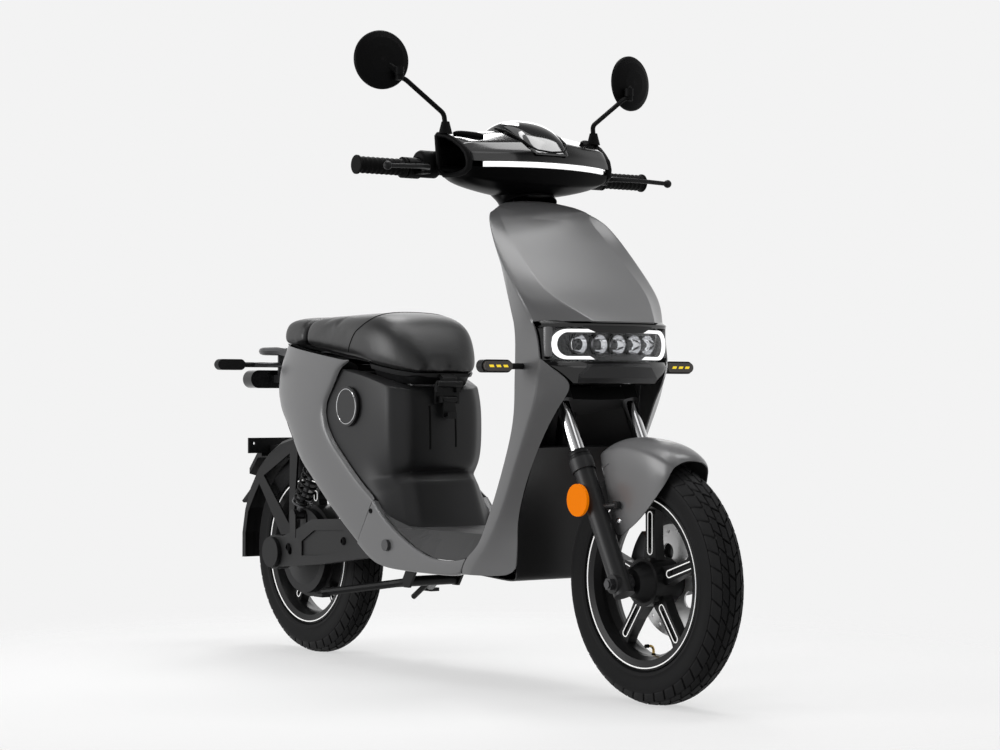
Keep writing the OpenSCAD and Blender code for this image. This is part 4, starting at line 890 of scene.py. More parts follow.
@dataclass
class FrontShield:
    """Painted shield with its hood and wings, the leg panel behind it and the wheel well under it."""

    # Height, rear edge x and half width, shoulder x and half width, crease x and half width, middle x
    hood: Table = (
        (949, -365, 105, -349, 134, -354, 110, -342), (935, -359, 121, -333, 148, -339, 114, -330),
        (900, -331, 137, -303, 162, -303, 120, -297), (850, -296, 147, -262, 173, -249, 125, -243),
        (785, -260, 156, -199, 176, -177, 129, -170), (748, -244, 158, -178, 169, -122, 96, -115),
        (727, -236, 158, -170, 163, -91, 76, -86),
    )
    # Hole and edge of the cap round the steering stem: ahead of the steering axis and half width
    cap_hole: tuple[Pair, ...] = (
        (-20.8, 12), (-12, 20.8), (-0.8, 24), (5.8, 23.3), (11.3, 21.2), (17.8, 16), (22.4, 8.6), (24, 0),
    )
    cap_edge: tuple[Pair, ...] = (
        (-26, 50), (-7, 63), (13.6, 76), (30, 79), (42, 67), (52, 46), (57, 23), (58, 0),
    )
    # Height, rear edge, crease and front edge, each x and half width
    wing: Table = (
        (700, -230, 158, -159, 159, -97, 75), (655, -231, 158, -152, 159, -149, 156),
        (640, -233, 157, -154, 158, -137, 148), (607, -236, 156, -162, 157, -105, 109),
        (576, -237, 155, -169, 156, -136, 115), (522, -245, 153, -200, 155, -174, 125),
        (440, -282, 151, -243, 154, -222, 130), (378, -313, 150, -275, 152, -252, 128),
        (338, -335, 150, -300, 151, -267, 126), (300, -356, 150, -327, 151, -270, 125),
        (276, -381, 150, -347, 150, -271, 125), (260, -410, 150, -369, 150, -273, 124),
        (228, -426, 150, -393, 150, -281, 124),
    )
    # Height, edge x and half width, middle x
    leg: Table = (
        (940, -374, 100, -443), (935, -358, 113, -438), (900, -325, 130, -420), (850, -290, 142, -391),
        (785, -254, 152, -361), (727, -230, 154.5, -331), (655, -226, 154.5, -302), (576, -231, 152, -310),
        (522, -240, 150, -322), (440, -277, 148, -342), (378, -308, 147, -356), (338, -330, 147, -365),
        (320, -345, 147, -367), (300, -353, 146.5, -364), (280, -360, 146, -364), (262, -374, 146, -376),
        (250, -402, 146, -402),
    )
    # Wheel well from the top down: height, edge x and half width, middle x; then the belly: x and height
    well: Table = (
        (486, -235, 117, -262), (484, -209, 121, -250), (430, -233, 122, -256), (378, -259, 121, -266),
        (338, -273, 119, -275), (290, -277, 118, -278), (246, -281, 117, -282), (226, -283, 116, -284),
        (219, -290, 115, -291),
    )
    belly: tuple[Pair, ...] = ((-320, 219), (-420, 226), (-533, 231), (-652, 233))
    belly_half: float = 115.0
    # Shares of the half width where the leg panel, the well and the belly have points
    spread: tuple[float, ...] = (1, 0.93, 0.8, 0.6, 0.3, 0)
    # How far the top row rises from its rear edge to the ridge
    brow_rise: tuple[float, ...] = (-20.0, -13.0, -2.0, 6.0, 10.0, 6.0)
    # Shares of the side and of the facet beside the headlight where they bend
    waist: float = 0.55
    facet: float = 0.7
    # How far the facet is set in under the hood's edge, the height where that starts and the drop to its full depth
    overhang: float = 5.0
    overhang_top: float = 785.0
    overhang_drop: float = 58.0

    def hood_row(self, r: Sequence[float]) -> list[Point]:
        """Points across the hood at one height."""
        rear, side = (FRONT_X + r[1], -r[2], r[0]), (FRONT_X + r[3], -r[4], r[0])
        ridge = (FRONT_X + r[5], -r[6], r[0])
        waist, under = between(rear, side, self.waist), between(side, ridge, self.facet)
        tuck = self.overhang * max(0.0, (self.overhang_top - r[0]) / self.overhang_drop)
        front = [(FRONT_X + mix(r[5], r[7], 1 - k * k), -r[6] * k, r[0]) for k in (1.0, 0.66, 0.33, 0.0)]
        return whole([rear, (waist[0], waist[1] - 3, waist[2]), side, (under[0] - tuck, under[1], under[2]), *front])

    def wing_row(self, r: Sequence[float], arch: bool) -> list[Point]:
        """Points across the wings at one height, with the arch over the headlight or without."""
        rear, side = (FRONT_X + r[1], -r[2], r[0]), (FRONT_X + r[3], -r[4], r[0])
        edge = (FRONT_X + r[5], -r[6], r[0])
        waist, under = between(rear, side, self.waist), between(side, edge, self.facet)
        inner = [(edge[0] + 4 * k, -r[6] * (1 - k), r[0]) for k in (0.4, 0.7, 1.0)] if arch else [edge] * 3
        return whole([rear, (waist[0], waist[1] - 1, waist[2]), side, under if arch else edge, edge, *inner])

    def rows(self) -> Rows:
        """All rows from the top of the steering cap to the lower tips of the wings."""
        caps = [whole([steer_point(n, -y, CAP_S) for n, y in ring]) for ring in (self.cap_hole, self.cap_edge)]
        hood = [self.hood_row(r) for r in self.hood]
        for j in (6, 7, 8):
            hood[0][j] = between(hood[0][j], hood[1][j], 0.85)
        for j, rise in enumerate(self.brow_rise):
            for k in (j, 14 - j):
                x, y, z = hood[0][k]
                hood[0][k] = (x, y, z + rise)
        return caps + hood + [self.wing_row(r, i == 0) for i, r in enumerate(self.wing)]

    @staticmethod
    def solid(i: int, j: int) -> bool:
        """Whether a cell of the grid belongs to the moulding."""
        across = j if j < 7 else 13 - j
        return i < 8 or across < (2 if i < 10 else 3)

    def dished(self, table: Table) -> Rows:
        """Rows of a panel that curves from its edges to its middle."""
        return [whole([(FRONT_X + mix(r[3], r[1], k * k), -r[2] * k, r[0]) for k in self.spread]) for r in table]

    def build(self, shop: Workshop) -> None:
        """Make the shield, the leg panel and the wheel well."""
        shield = Panel(
            "shield_moulding", self.rows(), 3.0, 3, row_creases={0: 1.0, 2: 0.9, 8: 0.7},
            col_creases={2: 0.4, 4: 0.95, 10: 0.95, 12: 0.4}, keep=self.solid, inside=(FRONT_X - 330, 0, 640),
            sharp=13.0,
        )
        shop.dress(shield.build(), GREY_PAINT, "frame", "front_shield")
        leg = Panel("leg_panel", self.dished(self.leg), 2.6, 2, inside=(FRONT_X, 0, 640))
        shop.dress(leg.build(), BLACK_PLASTIC, "frame", "inner_leg_panel")
        belly = [whole([(FRONT_X + x, -self.belly_half * k, z) for k in self.spread]) for x, z in self.belly]
        well = Panel(
            "well_moulding", self.dished(self.well) + belly, 2.6, 2, row_creases={1: 0.7},
            col_creases={1: 0.3, 9: 0.3}, inside=(FRONT_X - 420, 0, 340),
        )
        shop.dress(well.build(), BLACK_PLASTIC, "frame", "wheel_well_panel")


@dataclass
class Headlight:
    """Headlight recess, bowls, light guides and lens."""

    middle_z: float = 683.0
    # Plan curve of the lens: behind the front axle, sweep back at its ends and half width
    behind: float = 102.0
    swept: float = 36.0
    half: float = 138.0
    # How steeply the face bends back beyond that width
    bend: float = 1.1
    # Half widths where the recess has points
    widths: tuple[float, ...] = (154.6, 148, 138, 118, 90, 60, 30, 0)
    # Half widths where the lens has points, and its half height there
    lens: tuple[Pair, ...] = (
        (141, 18), (138, 25), (122, 31.4), (96, 31.4), (64, 31.4), (32, 31.4), (0, 31.4),
    )
    # Reflector bowls and their bulb lenses: places across, and profiles of radius and place along the axis
    bowls: tuple[float, ...] = (-84, -42, 0, 42, 84)
    bowl: tuple[Pair, ...] = (
        (4, 1), (9, 2), (14, 6), (17.5, 13), (18.5, 15), (19, 14), (17, 5), (13, 0), (8, -2), (4, -2),
    )
    eye: tuple[Pair, ...] = ((0.01, -1), (8, -1), (8, 2), (7, 5), (5, 7), (2.5, 8.4), (0.01, 8.8))
    # Height, set back from the lens curve, share of the half width
    face: tuple[Point, ...] = (
        (729, 8, 1), (722.6, -6, 1), (716, -4, 1), (714, 18, 1), (683, 22, 1), (652, 18, 1), (650, -2, 1),
        (641, -7, 0.92), (628, -9, 0.81), (608, -3, 0.66), (605, 16, 0.64),
    )

    def lamp_x(self, y: float) -> float:
        """Plan curve of the lens."""
        return FRONT_X - self.behind - self.swept * (y / self.half) ** 2

    def face_point(self, y: float, row: Point) -> Point:
        """Point of the recess at a half width."""
        w = y * row[2]
        bend = self.bend * max(0.0, w - self.half)
        return (self.lamp_x(min(w, self.half)) - row[1] - bend, -w, row[0])

    def build(self, shop: Workshop) -> None:
        """Make the recess, bowls, guides and lens."""
        rows = [whole([self.face_point(y, r) for y in self.widths]) for r in self.face]
        recess = Panel(
            "headlight_recess", rows, 2.6, 2,
            row_creases={1: 0.5, 2: 0.6, 3: 0.7, 5: 0.7, 6: 0.6, 7: 0.5, 9: 0.6},
            inside=(FRONT_X - 260, 0, self.middle_z),
        ).build()
        shop.dress(recess, GLOSS_BLACK, "frame", "headlight_housing")
        for i, y in enumerate(self.bowls):
            self.add_bowl(shop, i, y)
        self.add_guides(shop)
        self.add_lens(shop)
        self.add_blocks(shop)

    def add_bowl(self, shop: Workshop, i: int, y: float) -> None:
        """Add one bright reflector bowl with its bulb lens.

        Args:
            shop: Workshop that dresses the pieces.
            i: Number of the bowl.
            y: Place across the lamp.
        """
        centre = (self.lamp_x(y) - 24, y, self.middle_z)
        shop.dress(turned(f"lamp_bowl_{i}", self.bowl, centre, 40, "X", 60), CHROME, "frame")
        shop.dress(turned(f"lamp_eye_{i}", self.eye, centre, 32, "X", 50), DISPLAY_GLOSS, "frame")

    def add_guides(self, shop: Workshop) -> None:
        """Add the two bright light guides round the ends of the lens."""
        rims = []
        for reach, tall, top, low in ((28.9, 28.9, 70, 60), (20.5, 23.0, 57, 70)):
            arc = [math.radians(a) for a in range(90, -91, -9)]
            bend = [(111 + reach * math.cos(a), tall * math.sin(a)) for a in arc]
            rims.append([(top, tall), (92, tall), *bend, (92, -tall), (low, -tall)])
        rings = [
            [(self.lamp_x(y) + d, -y, self.middle_z + z) for d, (y, z) in ((3, o), (3, i), (-3, i), (-3, o))]
            for o, i in zip(*rims)
        ]
        guides = both("light_guides", loft("light_guide_right", rings))
        shop.dress(guides, WHITE_LIGHT, "frame", "headlight_ring")

    def slab(self, y: float, line: Sequence[Pair]) -> list[Point]:
        """Section across the lamp's face: places ahead of the lens curve and heights."""
        return [(self.lamp_x(y) + d, y, z) for d, z in line]

    def add_blocks(self, shop: Workshop) -> None:
        """Add the brow over the lens, the chin under it and the grey cheeks at its ends."""
        brow = loft("lamp_brow", [
            self.slab(y, ((5, 718), (4, low), (-12, low + 2), (-12, 718)))
            for y, low in ((-84, 716), (-58, 705.5), (-30, 705), (0, 705), (30, 705), (58, 705.5), (84, 716))
        ])
        shop.dress(brow, BLACK_PLASTIC, "frame")
        chin = loft("lamp_chin", [
            self.slab(y, ((5, top + 3), (12, top - 3), (13, 618), (7, 609), (-8, 609), (-8, top)))
            for y, top in ((-94, 623), (-76, 642), (-38, 643), (0, 643), (38, 643), (76, 642), (94, 623))
        ])
        shop.dress(chin, BLACK_PLASTIC, "frame")
        plan = ((-134, -139), (-149, -152), (-158, -147), (-144, -133))
        middle = (-146, -143)
        cheek = loft("lamp_cheek", [
            [(FRONT_X + mix(p[0], middle[0], t), mix(p[1], middle[1], t), z) for p in plan]
            for z, t in ((719, 0.3), (717, 0.0), (660, 0.0), (658, 0.3))
        ], 2, {1: 0.8, 2: 0.8})
        shop.dress(both("lamp_cheeks", cheek), GREY_PAINT, "frame")

    def add_lens(self, shop: Workshop) -> None:
        """Add the clear lens."""
        rows = [
            whole([(self.lamp_x(y) - 3 - 2 * abs(k), -y, self.middle_z + k * h) for y, h in self.lens])
            for k in (1, 0.5, 0, -0.5, -1)
        ]
        lens = Panel("headlight_cover", rows, 1.6, 2, inside=(FRONT_X - 260, 0, self.middle_z)).build()
        shop.dress(lens, CLEAR_LENS, "frame", "headlight_lens")


@dataclass
class LowerBody:
    """Painted floor bands with their plugs, the two rear side covers and the lip of the tub under the seat."""

    # Upper and lower edge of the floor band, x and height
    band_top: tuple[Pair, ...] = (
        (-105.25, 365), (-78.25, 337), (-27.25, 305), (22.75, 282), (62.75, 267), (114.75, 253), (152.75, 252),
        (196.75, 253), (232.75, 260),
    )
    band_low: tuple[Pair, ...] = (
        (-166.25, 268), (-122.25, 240), (-78.25, 224), (1.75, 221), (62.75, 220), (114.75, 220), (152.75, 220),
        (196.75, 221), (216.75, 228),
    )
    # Front and rear edge of the side cover from the band up, x from the rear axle and height
    cover_front: tuple[Pair, ...] = (
        (453, 367), (386, 408), (290, 485), (262, 519), (253, 548), (257, 573), (285, 608), (313, 645), (351, 659),
    )
    cover_rear: tuple[Pair, ...] = (
        (389, 269), (336, 303), (275, 345), (207, 396), (142, 442), (83, 512), (34, 553), (8, 594), (5, 627),
        (20, 666), (46, 701),
    )
    # How far the cover's rear edge is tucked in, and the half width of the lip behind it, from the band up
    tuck: tuple[float, ...] = (0, 0, 1, 3, 7, 14, 24, 32, 36, 36, 34)
    lip: tuple[float, ...] = (136, 136, 137, 138, 139, 128, 66, 2, 2, 102, 104)
    # Rows of the cover, and how far it swells outward
    steps: int = 20
    bulge: float = 5.0
    # Joint line of the side cover, x from the rear axle
    seam: tuple[Point, ...] = (
        (201, -135, 685), (158, -140, 664), (136, -142, 642), (116, -143, 609), (98, -142, 564), (90, -140, 542),
        (94, -140, 509), (121, -143, 487),
    )
    # Lip of the tub under the seat: height of its foot, then x from the rear axle, half width and height
    tub_foot: float = 630.0
    tub: tuple[Point, ...] = (
        (40, 20, 699), (40, 70, 700), (42, 97, 702), (47, 107, 703), (64, 107, 701), (101, 104, 690), (171, 103, 680),
        (261, 105, 665), (330, 107, 653),
    )

    def build(self, shop: Workshop) -> None:
        """Make the bands, the covers and their trim."""
        shop.dress(both("floor_bands", self.band()), GREY_PAINT, "frame", "floor_rails")
        cover = self.cover()
        other = mirrored(cover, "tail_cover_left")
        line = sweep("cover_seam_right", snapped(cover, [(REAR_X + x, y, z) for x, y, z in self.seam]), 0.8, 8)
        shop.dress(both("cover_seams", line), SEAM_AND_SHADE_BLACK, "frame")
        for piece, node in ((cover, "side_cover_right"), (other, "side_cover_left")):
            shop.dress(piece, GREY_PAINT, "frame", node)
        self.add_rim(shop)
        plug = turned(
            "band_plug", [(0.01, -2), (5, -2), (5.4, 0.6), (4.6, 1.4), (2.6, 1.4), (2.2, 0.2), (0.01, 0.2)],
            (-111, 151, 342), 28,
        )
        shop.dress(both("band_plugs", plug), MATT_BLACK, "frame")

    def add_rim(self, shop: Workshop) -> None:
        """Add the lip of the tub under the seat, which closes the view between cover and seat; its near-black finish is
        partly the lip's own black and partly painted shade in that gap.
        """
        rows = [[(REAR_X + x, -y, mix(self.tub_foot, z, k)) for x, y, z in self.tub] for k in (0, 0.5, 1)]
        rim = Panel("tub_rim_right", rows, 2.4, 1, inside=(REAR_X + 200, 0, 660)).build()
        shop.dress(both("tub_rim", rim), MATT_BLACK, "frame")

    def band(self) -> Piece:
        """The right floor band."""
        h = BODY_HALF
        rows = [
            [
                (a[0], -(h - 36), a[1] - 12), (a[0], -(h - 10), a[1] - 1), (a[0], -(h - 2), a[1]),
                (a[0], -h, a[1] - 3),
                (mix(a[0], b[0], 0.5), -h - 1, mix(a[1], b[1], 0.5)), (b[0], -h, b[1] + 4),
                (b[0], -(h - 6), b[1]), (b[0], -(h - 28), b[1] + 2),
            ]
            for a, b in zip(self.band_top, self.band_low)
        ]
        return Panel(
            "floor_band_right", rows, 3.0, 2, col_creases={1: 0.5, 2: 0.3, 3: 0.4, 5: 0.4}, inside=(80, -100, 240)
        ).build()

    def cover(self) -> Piece:
        """The right side cover."""
        rows = []
        h = BODY_HALF
        for i in range(self.steps + 1):
            t = i / self.steps
            front, rear = along(self.cover_front, t), along(self.cover_rear, t)
            tuck = along([(v,) for v in self.tuck], t)[0]
            lip = along([(v,) for v in self.lip], t)[0]
            swell = self.bulge * math.sin(math.radians(180 * min(1, 1.4 * t)))
            line = ((0.03, h - tuck - 3), (0.08, h - tuck * 0.6 + swell * 0.2), (0.3, h - tuck * 0.18 + swell * 0.8),
                    (0.6, h + swell), (0.9, h + swell * 0.4), (0.98, h - 2), (1.0, h - 9))
            row = [(REAR_X + rear[0] + (h - tuck - lip) * 0.12, -lip, rear[1] + 3)]
            for k, y in line:
                p = between(rear, front, k)
                row.append((REAR_X + p[0], -y, p[1]))
            rows.append(row)
        return Panel("tail_cover_right", rows, 3.0, 2, col_creases={6: 0.3}, inside=(REAR_X + 220, -40, 480)).build()


@dataclass
class Seat:
    """Seat with a front saddle, a rear pad, sewn seams and the tray under them."""

    half: float = 134.0
    top: float = 765.0
    hinge: Pair = (-37.25, 610.0)
    # Tray under the cushion: share of the cushion's width, and half width between the covers
    tray_share: float = 0.84
    tray_half: float = 90.0
    # x from the rear axle where the tray's deep front starts and ends, and its floor and rim there and elsewhere
    tray_front: float = 370.0
    tray_nose: float = 490.0
    tray_deep: Pair = (-24, -9)
    tray_flat: Pair = (-5, -4)
    # Cloth simulation: inset of the foam, spacing of the net, pressure, steps, most that a point may move, stiffness
    slack: float = 2.2
    voxel: float = 5.0
    pressure: float = 4.0
    frames: int = 20
    limit: float = 3.4
    bending: float = 8.0
    # x from the rear axle, share of the half width, underside height, drop of the top
    saddle: Table = (
        (514, 0.40, 633, 117), (510, 0.53, 629, 105), (499, 0.65, 630, 84), (482, 0.75, 633, 55), (458, 0.86, 637, 25),
        (426, 0.94, 643, 8), (388, 0.98, 650, 0), (351, 0.97, 660, 0), (261, 0.91, 672, 1), (171, 0.84, 685, 3),
        (125, 0.80, 690, 3), (104, 0.775, 692, 6), (92, 0.72, 695, 13),
    )
    pad: Table = (
        (88, 0.7, 698, 10), (80, 0.745, 696, 1), (40, 0.73, 696, 0), (2, 0.7, 698, 1), (-11, 0.67, 701, 4),
        (-16, 0.6, 708, 12),
    )
    # Sewn joint of the saddle, x from the rear axle
    seam: tuple[Point, ...] = (
        (303, -127, 671), (316, -128, 694), (327, -127, 709), (342, -124, 724), (361, -118, 737), (376, -105, 747),
        (381, -85, 753), (381, -65, 756), (376, -20, 760), (375, 0, 761),
    )
    section: tuple[Pair, ...] = (
        (0, 0), (0.6, 0), (0.9, 0.02), (0.99, 0.12), (1, 0.3), (0.96, 0.6), (0.87, 0.82), (0.66, 0.95), (0.34, 0.99),
        (0, 1),
    )

    def ring(self, r: Sequence[float]) -> list[Point]:
        """Closed ring of the cushion at one row."""
        w, low = r[1] * self.half, r[2]
        high = self.top - r[3] - low
        return ringed([(REAR_X + r[0], -p[0] * w, low + p[1] * high) for p in self.section])

    def foam(self, piece: Piece) -> list[int]:
        """Shrink a cushion to its foam and cover it with an even net of points.

        Args:
            piece: Closed cushion at its full size.

        Returns:
            Points of the underside, which the seat base holds.
        """
        for point in piece.data.vertices:
            point.co -= point.normal * self.slack * MM
        net = piece.modifiers.new("net", "REMESH")
        net.mode = "VOXEL"
        net.voxel_size = self.voxel * MM
        freeze(piece)
        return [v.index for v in piece.data.vertices if v.normal.z < -0.5]

    def swell(self, piece: Piece) -> Piece:
        """Round a cushion out by the pressure inside its cover, with cloth simulation.

        Args:
            piece: Closed cushion at its full size.

        Returns:
            The same piece with the simulated shape applied.
        """
        held = piece.vertex_groups.new(name="held")
        held.add(self.foam(piece), 1.0, "REPLACE")
        cover = piece.modifiers.new("cover", "CLOTH")
        cover.settings.vertex_group_mass = "held"
        cover.settings.bending_stiffness = self.bending
        cover.settings.use_pressure = True
        cover.settings.uniform_pressure_force = self.pressure
        cover.settings.effector_weights.gravity = 0.0
        cover.point_cache.frame_end = self.frames
        start = [v.co.copy() for v in piece.data.vertices]
        scene = bpy.context.scene
        for moment in range(1, self.frames + 1):
            scene.frame_set(moment)
        graph = bpy.context.evaluated_depsgraph_get()
        swollen = [v.co.copy() for v in piece.evaluated_get(graph).data.vertices]
        piece.modifiers.clear()
        scene.frame_set(1)
        for point, old, new in zip(piece.data.vertices, start, swollen):
            move = new - old
            point.co = old + move * min(1.0, self.limit * MM / max(move.length, 1e-9))
        LOG.info("%s swells by up to %.1f mm", piece.name, max((n - o).length for n, o in zip(swollen, start)) / MM)
        even = piece.modifiers.new("even", "SMOOTH")
        even.factor, even.iterations = 0.5, 12
        soften(piece, 1)
        return freeze(piece)

    def build(self, shop: Workshop) -> None:
        """Make the cushion, its seams and its tray."""
        saddle = self.swell(loft("saddle_part", [self.ring(r) for r in self.saddle], 3, {0: 0.3, 12: 0.3}))
        pad = self.swell(loft("pad_part", [self.ring(r) for r in self.pad], 3, {0: 0.4, 1: 0.4, 4: 0.4, 5: 0.3}))
        cushion = joined("seat_pad", [saddle, pad])
        line = sweep("seat_seam_right", snapped(cushion, [(REAR_X + x, y, z) for x, y, z in self.seam], 48), 1.3, 8)
        shop.dress(both("seat_seams", line), SEAM_AND_SHADE_BLACK, "seat")
        shop.dress(cushion, SEAT_VINYL, "seat", "seat_cushion")
        self.add_tray(shop)

    def add_tray(self, shop: Workshop) -> None:
        """Add the base under the cushion, with its hinge barrel in front."""
        rings = []
        for r in self.saddle[1:-1] + self.pad[1:-1]:
            w = self.tray_share * r[1] * self.half
            if r[0] < self.tray_front:
                w = min(w, self.tray_half)
            deep, rim = self.tray_deep if self.tray_front < r[0] < self.tray_nose else self.tray_flat
            half = [(0, deep), (w - 16, deep), (w - 8, rim), (w, rim + 2), (w + 3, 3), (0, 3)]
            rings.append(ringed([(REAR_X + r[0], -y, r[2] + z) for y, z in half]))
        tray = loft("tray_plate", rings)
        x, z = self.hinge
        barrel = turned("tray_barrel", [(3.3, -18.6), (7, -18.6), (7, 18.6), (3.3, 18.6)], (x, 0, z), 32)
        strap = ((-4, 5.5), (4, 5.5), (4, 12), (-8, 20), (-24, 21), (-24, 15), (-12, 13))
        tongue = loft("tray_tongue", [[(x + dx, y, z + dz) for dx, dz in strap] for y in (-18, 18)])
        base = joined("seat_tray", [tray, barrel, tongue])
        # The base takes the darker frame black so that the gap under the cushion looks shaded: painted shade
        shop.dress(base, FRAME_BLACK, "seat", "seat_base")


@dataclass
class SeatBox:
    """Black moulding under the seat, dark strips of painted shade along its two grooves, and the rings round its caps.
    """

    # Points of the right half from the rear edge to the middle, x from the rear axle
    rows: tuple[tuple[Point, ...], ...] = (
        ((312, 106, 642), (388, 102, 632), (452, 92, 614), (478, 70, 606), (484, 0, 604)),
        ((308, 134, 642), (391, 132, 629), (462, 116, 604), (492, 80, 598), (502, 0, 596)),
        ((246, 138, 566), (371, 139, 566), (468, 122, 566), (500, 84, 568), (510, 0, 568)),
        ((246, 138, 534), (371, 139, 520), (470, 122, 510), (500, 84, 505), (510, 0, 505)),
        ((278, 138, 480), (381, 139, 460), (470, 119, 448), (497, 82, 440), (505, 0, 438)),
        ((378, 138, 400), (418, 134, 408), (460, 106, 416), (480, 74, 424), (487, 0, 424)),
        ((421, 138, 376), (450, 131, 384), (485, 99, 396), (504, 74, 404), (513, 0, 404)),
        ((449, 138, 360), (478, 132, 345), (514, 105, 322), (536, 80, 316), (546, 0, 316)),
        ((468, 139.5, 346), (498, 126, 322), (530, 101, 300), (550, 78, 296), (559, 0, 295)),
    )

    def build(self, shop: Workshop) -> None:
        """Make the box and its trim."""
        rows = [whole([(REAR_X + x, -y, z) for x, y, z in r]) for r in self.rows]
        box = Panel(
            "seat_box_moulding", rows, 2.6, 3, row_creases={1: 0.55, 5: 0.7, 6: 0.55, 7: 0.3},
            col_creases={2: 0.6, 3: 0.4, 5: 0.4, 6: 0.6}, inside=(REAR_X + 330, 0, 500),
        ).build()
        shop.dress(box, BLACK_PLASTIC, "frame", "seat_box")
        # Dark strips laid along the box stand in for the shade inside its grooves: painted shade
        lines = []
        for i, (y, z, y_low, z_low) in enumerate(((-40, 565, -37, 470), (25, 580, 30, 475))):
            path = snapped(box, [(REAR_X + 515, y, z), (REAR_X + 515, y_low, z_low)], 10)
            lines.append(sweep(f"groove_shade_strip_{i}", path, 2.4, 10, (1, 0, 0), 0.5))
        shop.dress(joined("groove_shade_strips", lines), SEAM_AND_SHADE_BLACK, "frame")
        ring = turned("cap_ring", [(36.6, 4.6), (37, 5.5), (38, 5.5), (38.4, 4.6)], (REAR_X + 340, 139.6, 562), 72)
        shop.dress(both("cap_rings", ring), CHROME, "frame")


@dataclass
class FrontFender:
    """Painted front mudguard on the fork legs, with its screws and the fork seals."""

    # Crown x and height from the axle, skirt x and height, half width
    rows: Table = (
        (112, 232, 101, 205, 46), (104, 241, 92, 187, 52), (86, 251, 72, 164, 56), (56, 263, 48, 138, 59),
        (8, 272, 16, 112, 60), (-40, 275, -15, 95, 60), (-62, 271, -40, 84, 60), (-76, 267, -53, 116, 60),
        (-92, 261, -68, 165, 60), (-106, 254, -82, 212, 59),
    )

    def row(self, r: Sequence[float]) -> list[Point]:
        """Points across the fender from skirt to skirt."""
        crown, skirt = Vector((r[0], r[1])), Vector((r[2], r[3]))
        down = skirt - crown
        h = down.length
        down.normalize()
        knee = crown + down * min(36, 0.8 * h)
        line = (
            (1.0, skirt), (1.0, skirt.lerp(knee, 0.5)), (0.99, knee), (0.9, crown + down * min(17, 0.5 * h)),
            (0.66, crown + down * min(6, 0.2 * h)), (0.34, crown + down * 1.2), (0.0, crown),
        )
        return whole([(FRONT_X + p.x, -r[4] * k, AXLE_Z + p.y) for k, p in line])

    def build(self, shop: Workshop) -> None:
        """Make the fender, its screws and the seals."""
        guard = Panel(
            "front_mudguard", [self.row(r) for r in self.rows], 2.4, 3,
            col_creases={3: 0.35, 9: 0.35}, inside=(FRONT_X, 0, AXLE_Z + 60),
        ).build()
        shop.dress(guard, GREY_PAINT, "fork_lower", "front_fender")
        screw = turned(
            "fender_screw",
            [(0.01, -1), (6, -1), (6, 0.8), (5.2, 1.2), (4.4, 1.2), (3.6, 3), (2, 3.2), (1.6, 1.8), (0.01, 1.8)],
            (FRONT_X - 33, 60.4, AXLE_Z + 115), 32,
        )
        shop.dress(both("fender_screws", screw), CHROME, "fork_lower")
        self.add_seals(shop)

    def add_seals(self, shop: Workshop) -> None:
        """Add the ribbed dust seals on top of the fork sliders."""
        profile = [
            (16.4, 260.5), (21.6, 260.5), (22.2, 262), (22.2, 265), (19.6, 266), (19.6, 267.5), (20.6, 268.5),
            (20.6, 271.5), (18.6, 272.5), (18.6, 274), (19.2, 275), (18.6, 277.5), (16.4, 278),
        ]
        seal = turned("fork_seal_right", profile, (0, 0, 0), 56, "X")
        turn = Matrix.Rotation(-math.pi / 2 - RAKE, 4, "Y")
        seal.data.transform(Matrix.Translation(Vector(steer_point(27, -LEG_Y, 0)) * MM) @ turn)
        shop.dress(both("fork_seals", seal), SATIN_BLACK, "fork_lower")


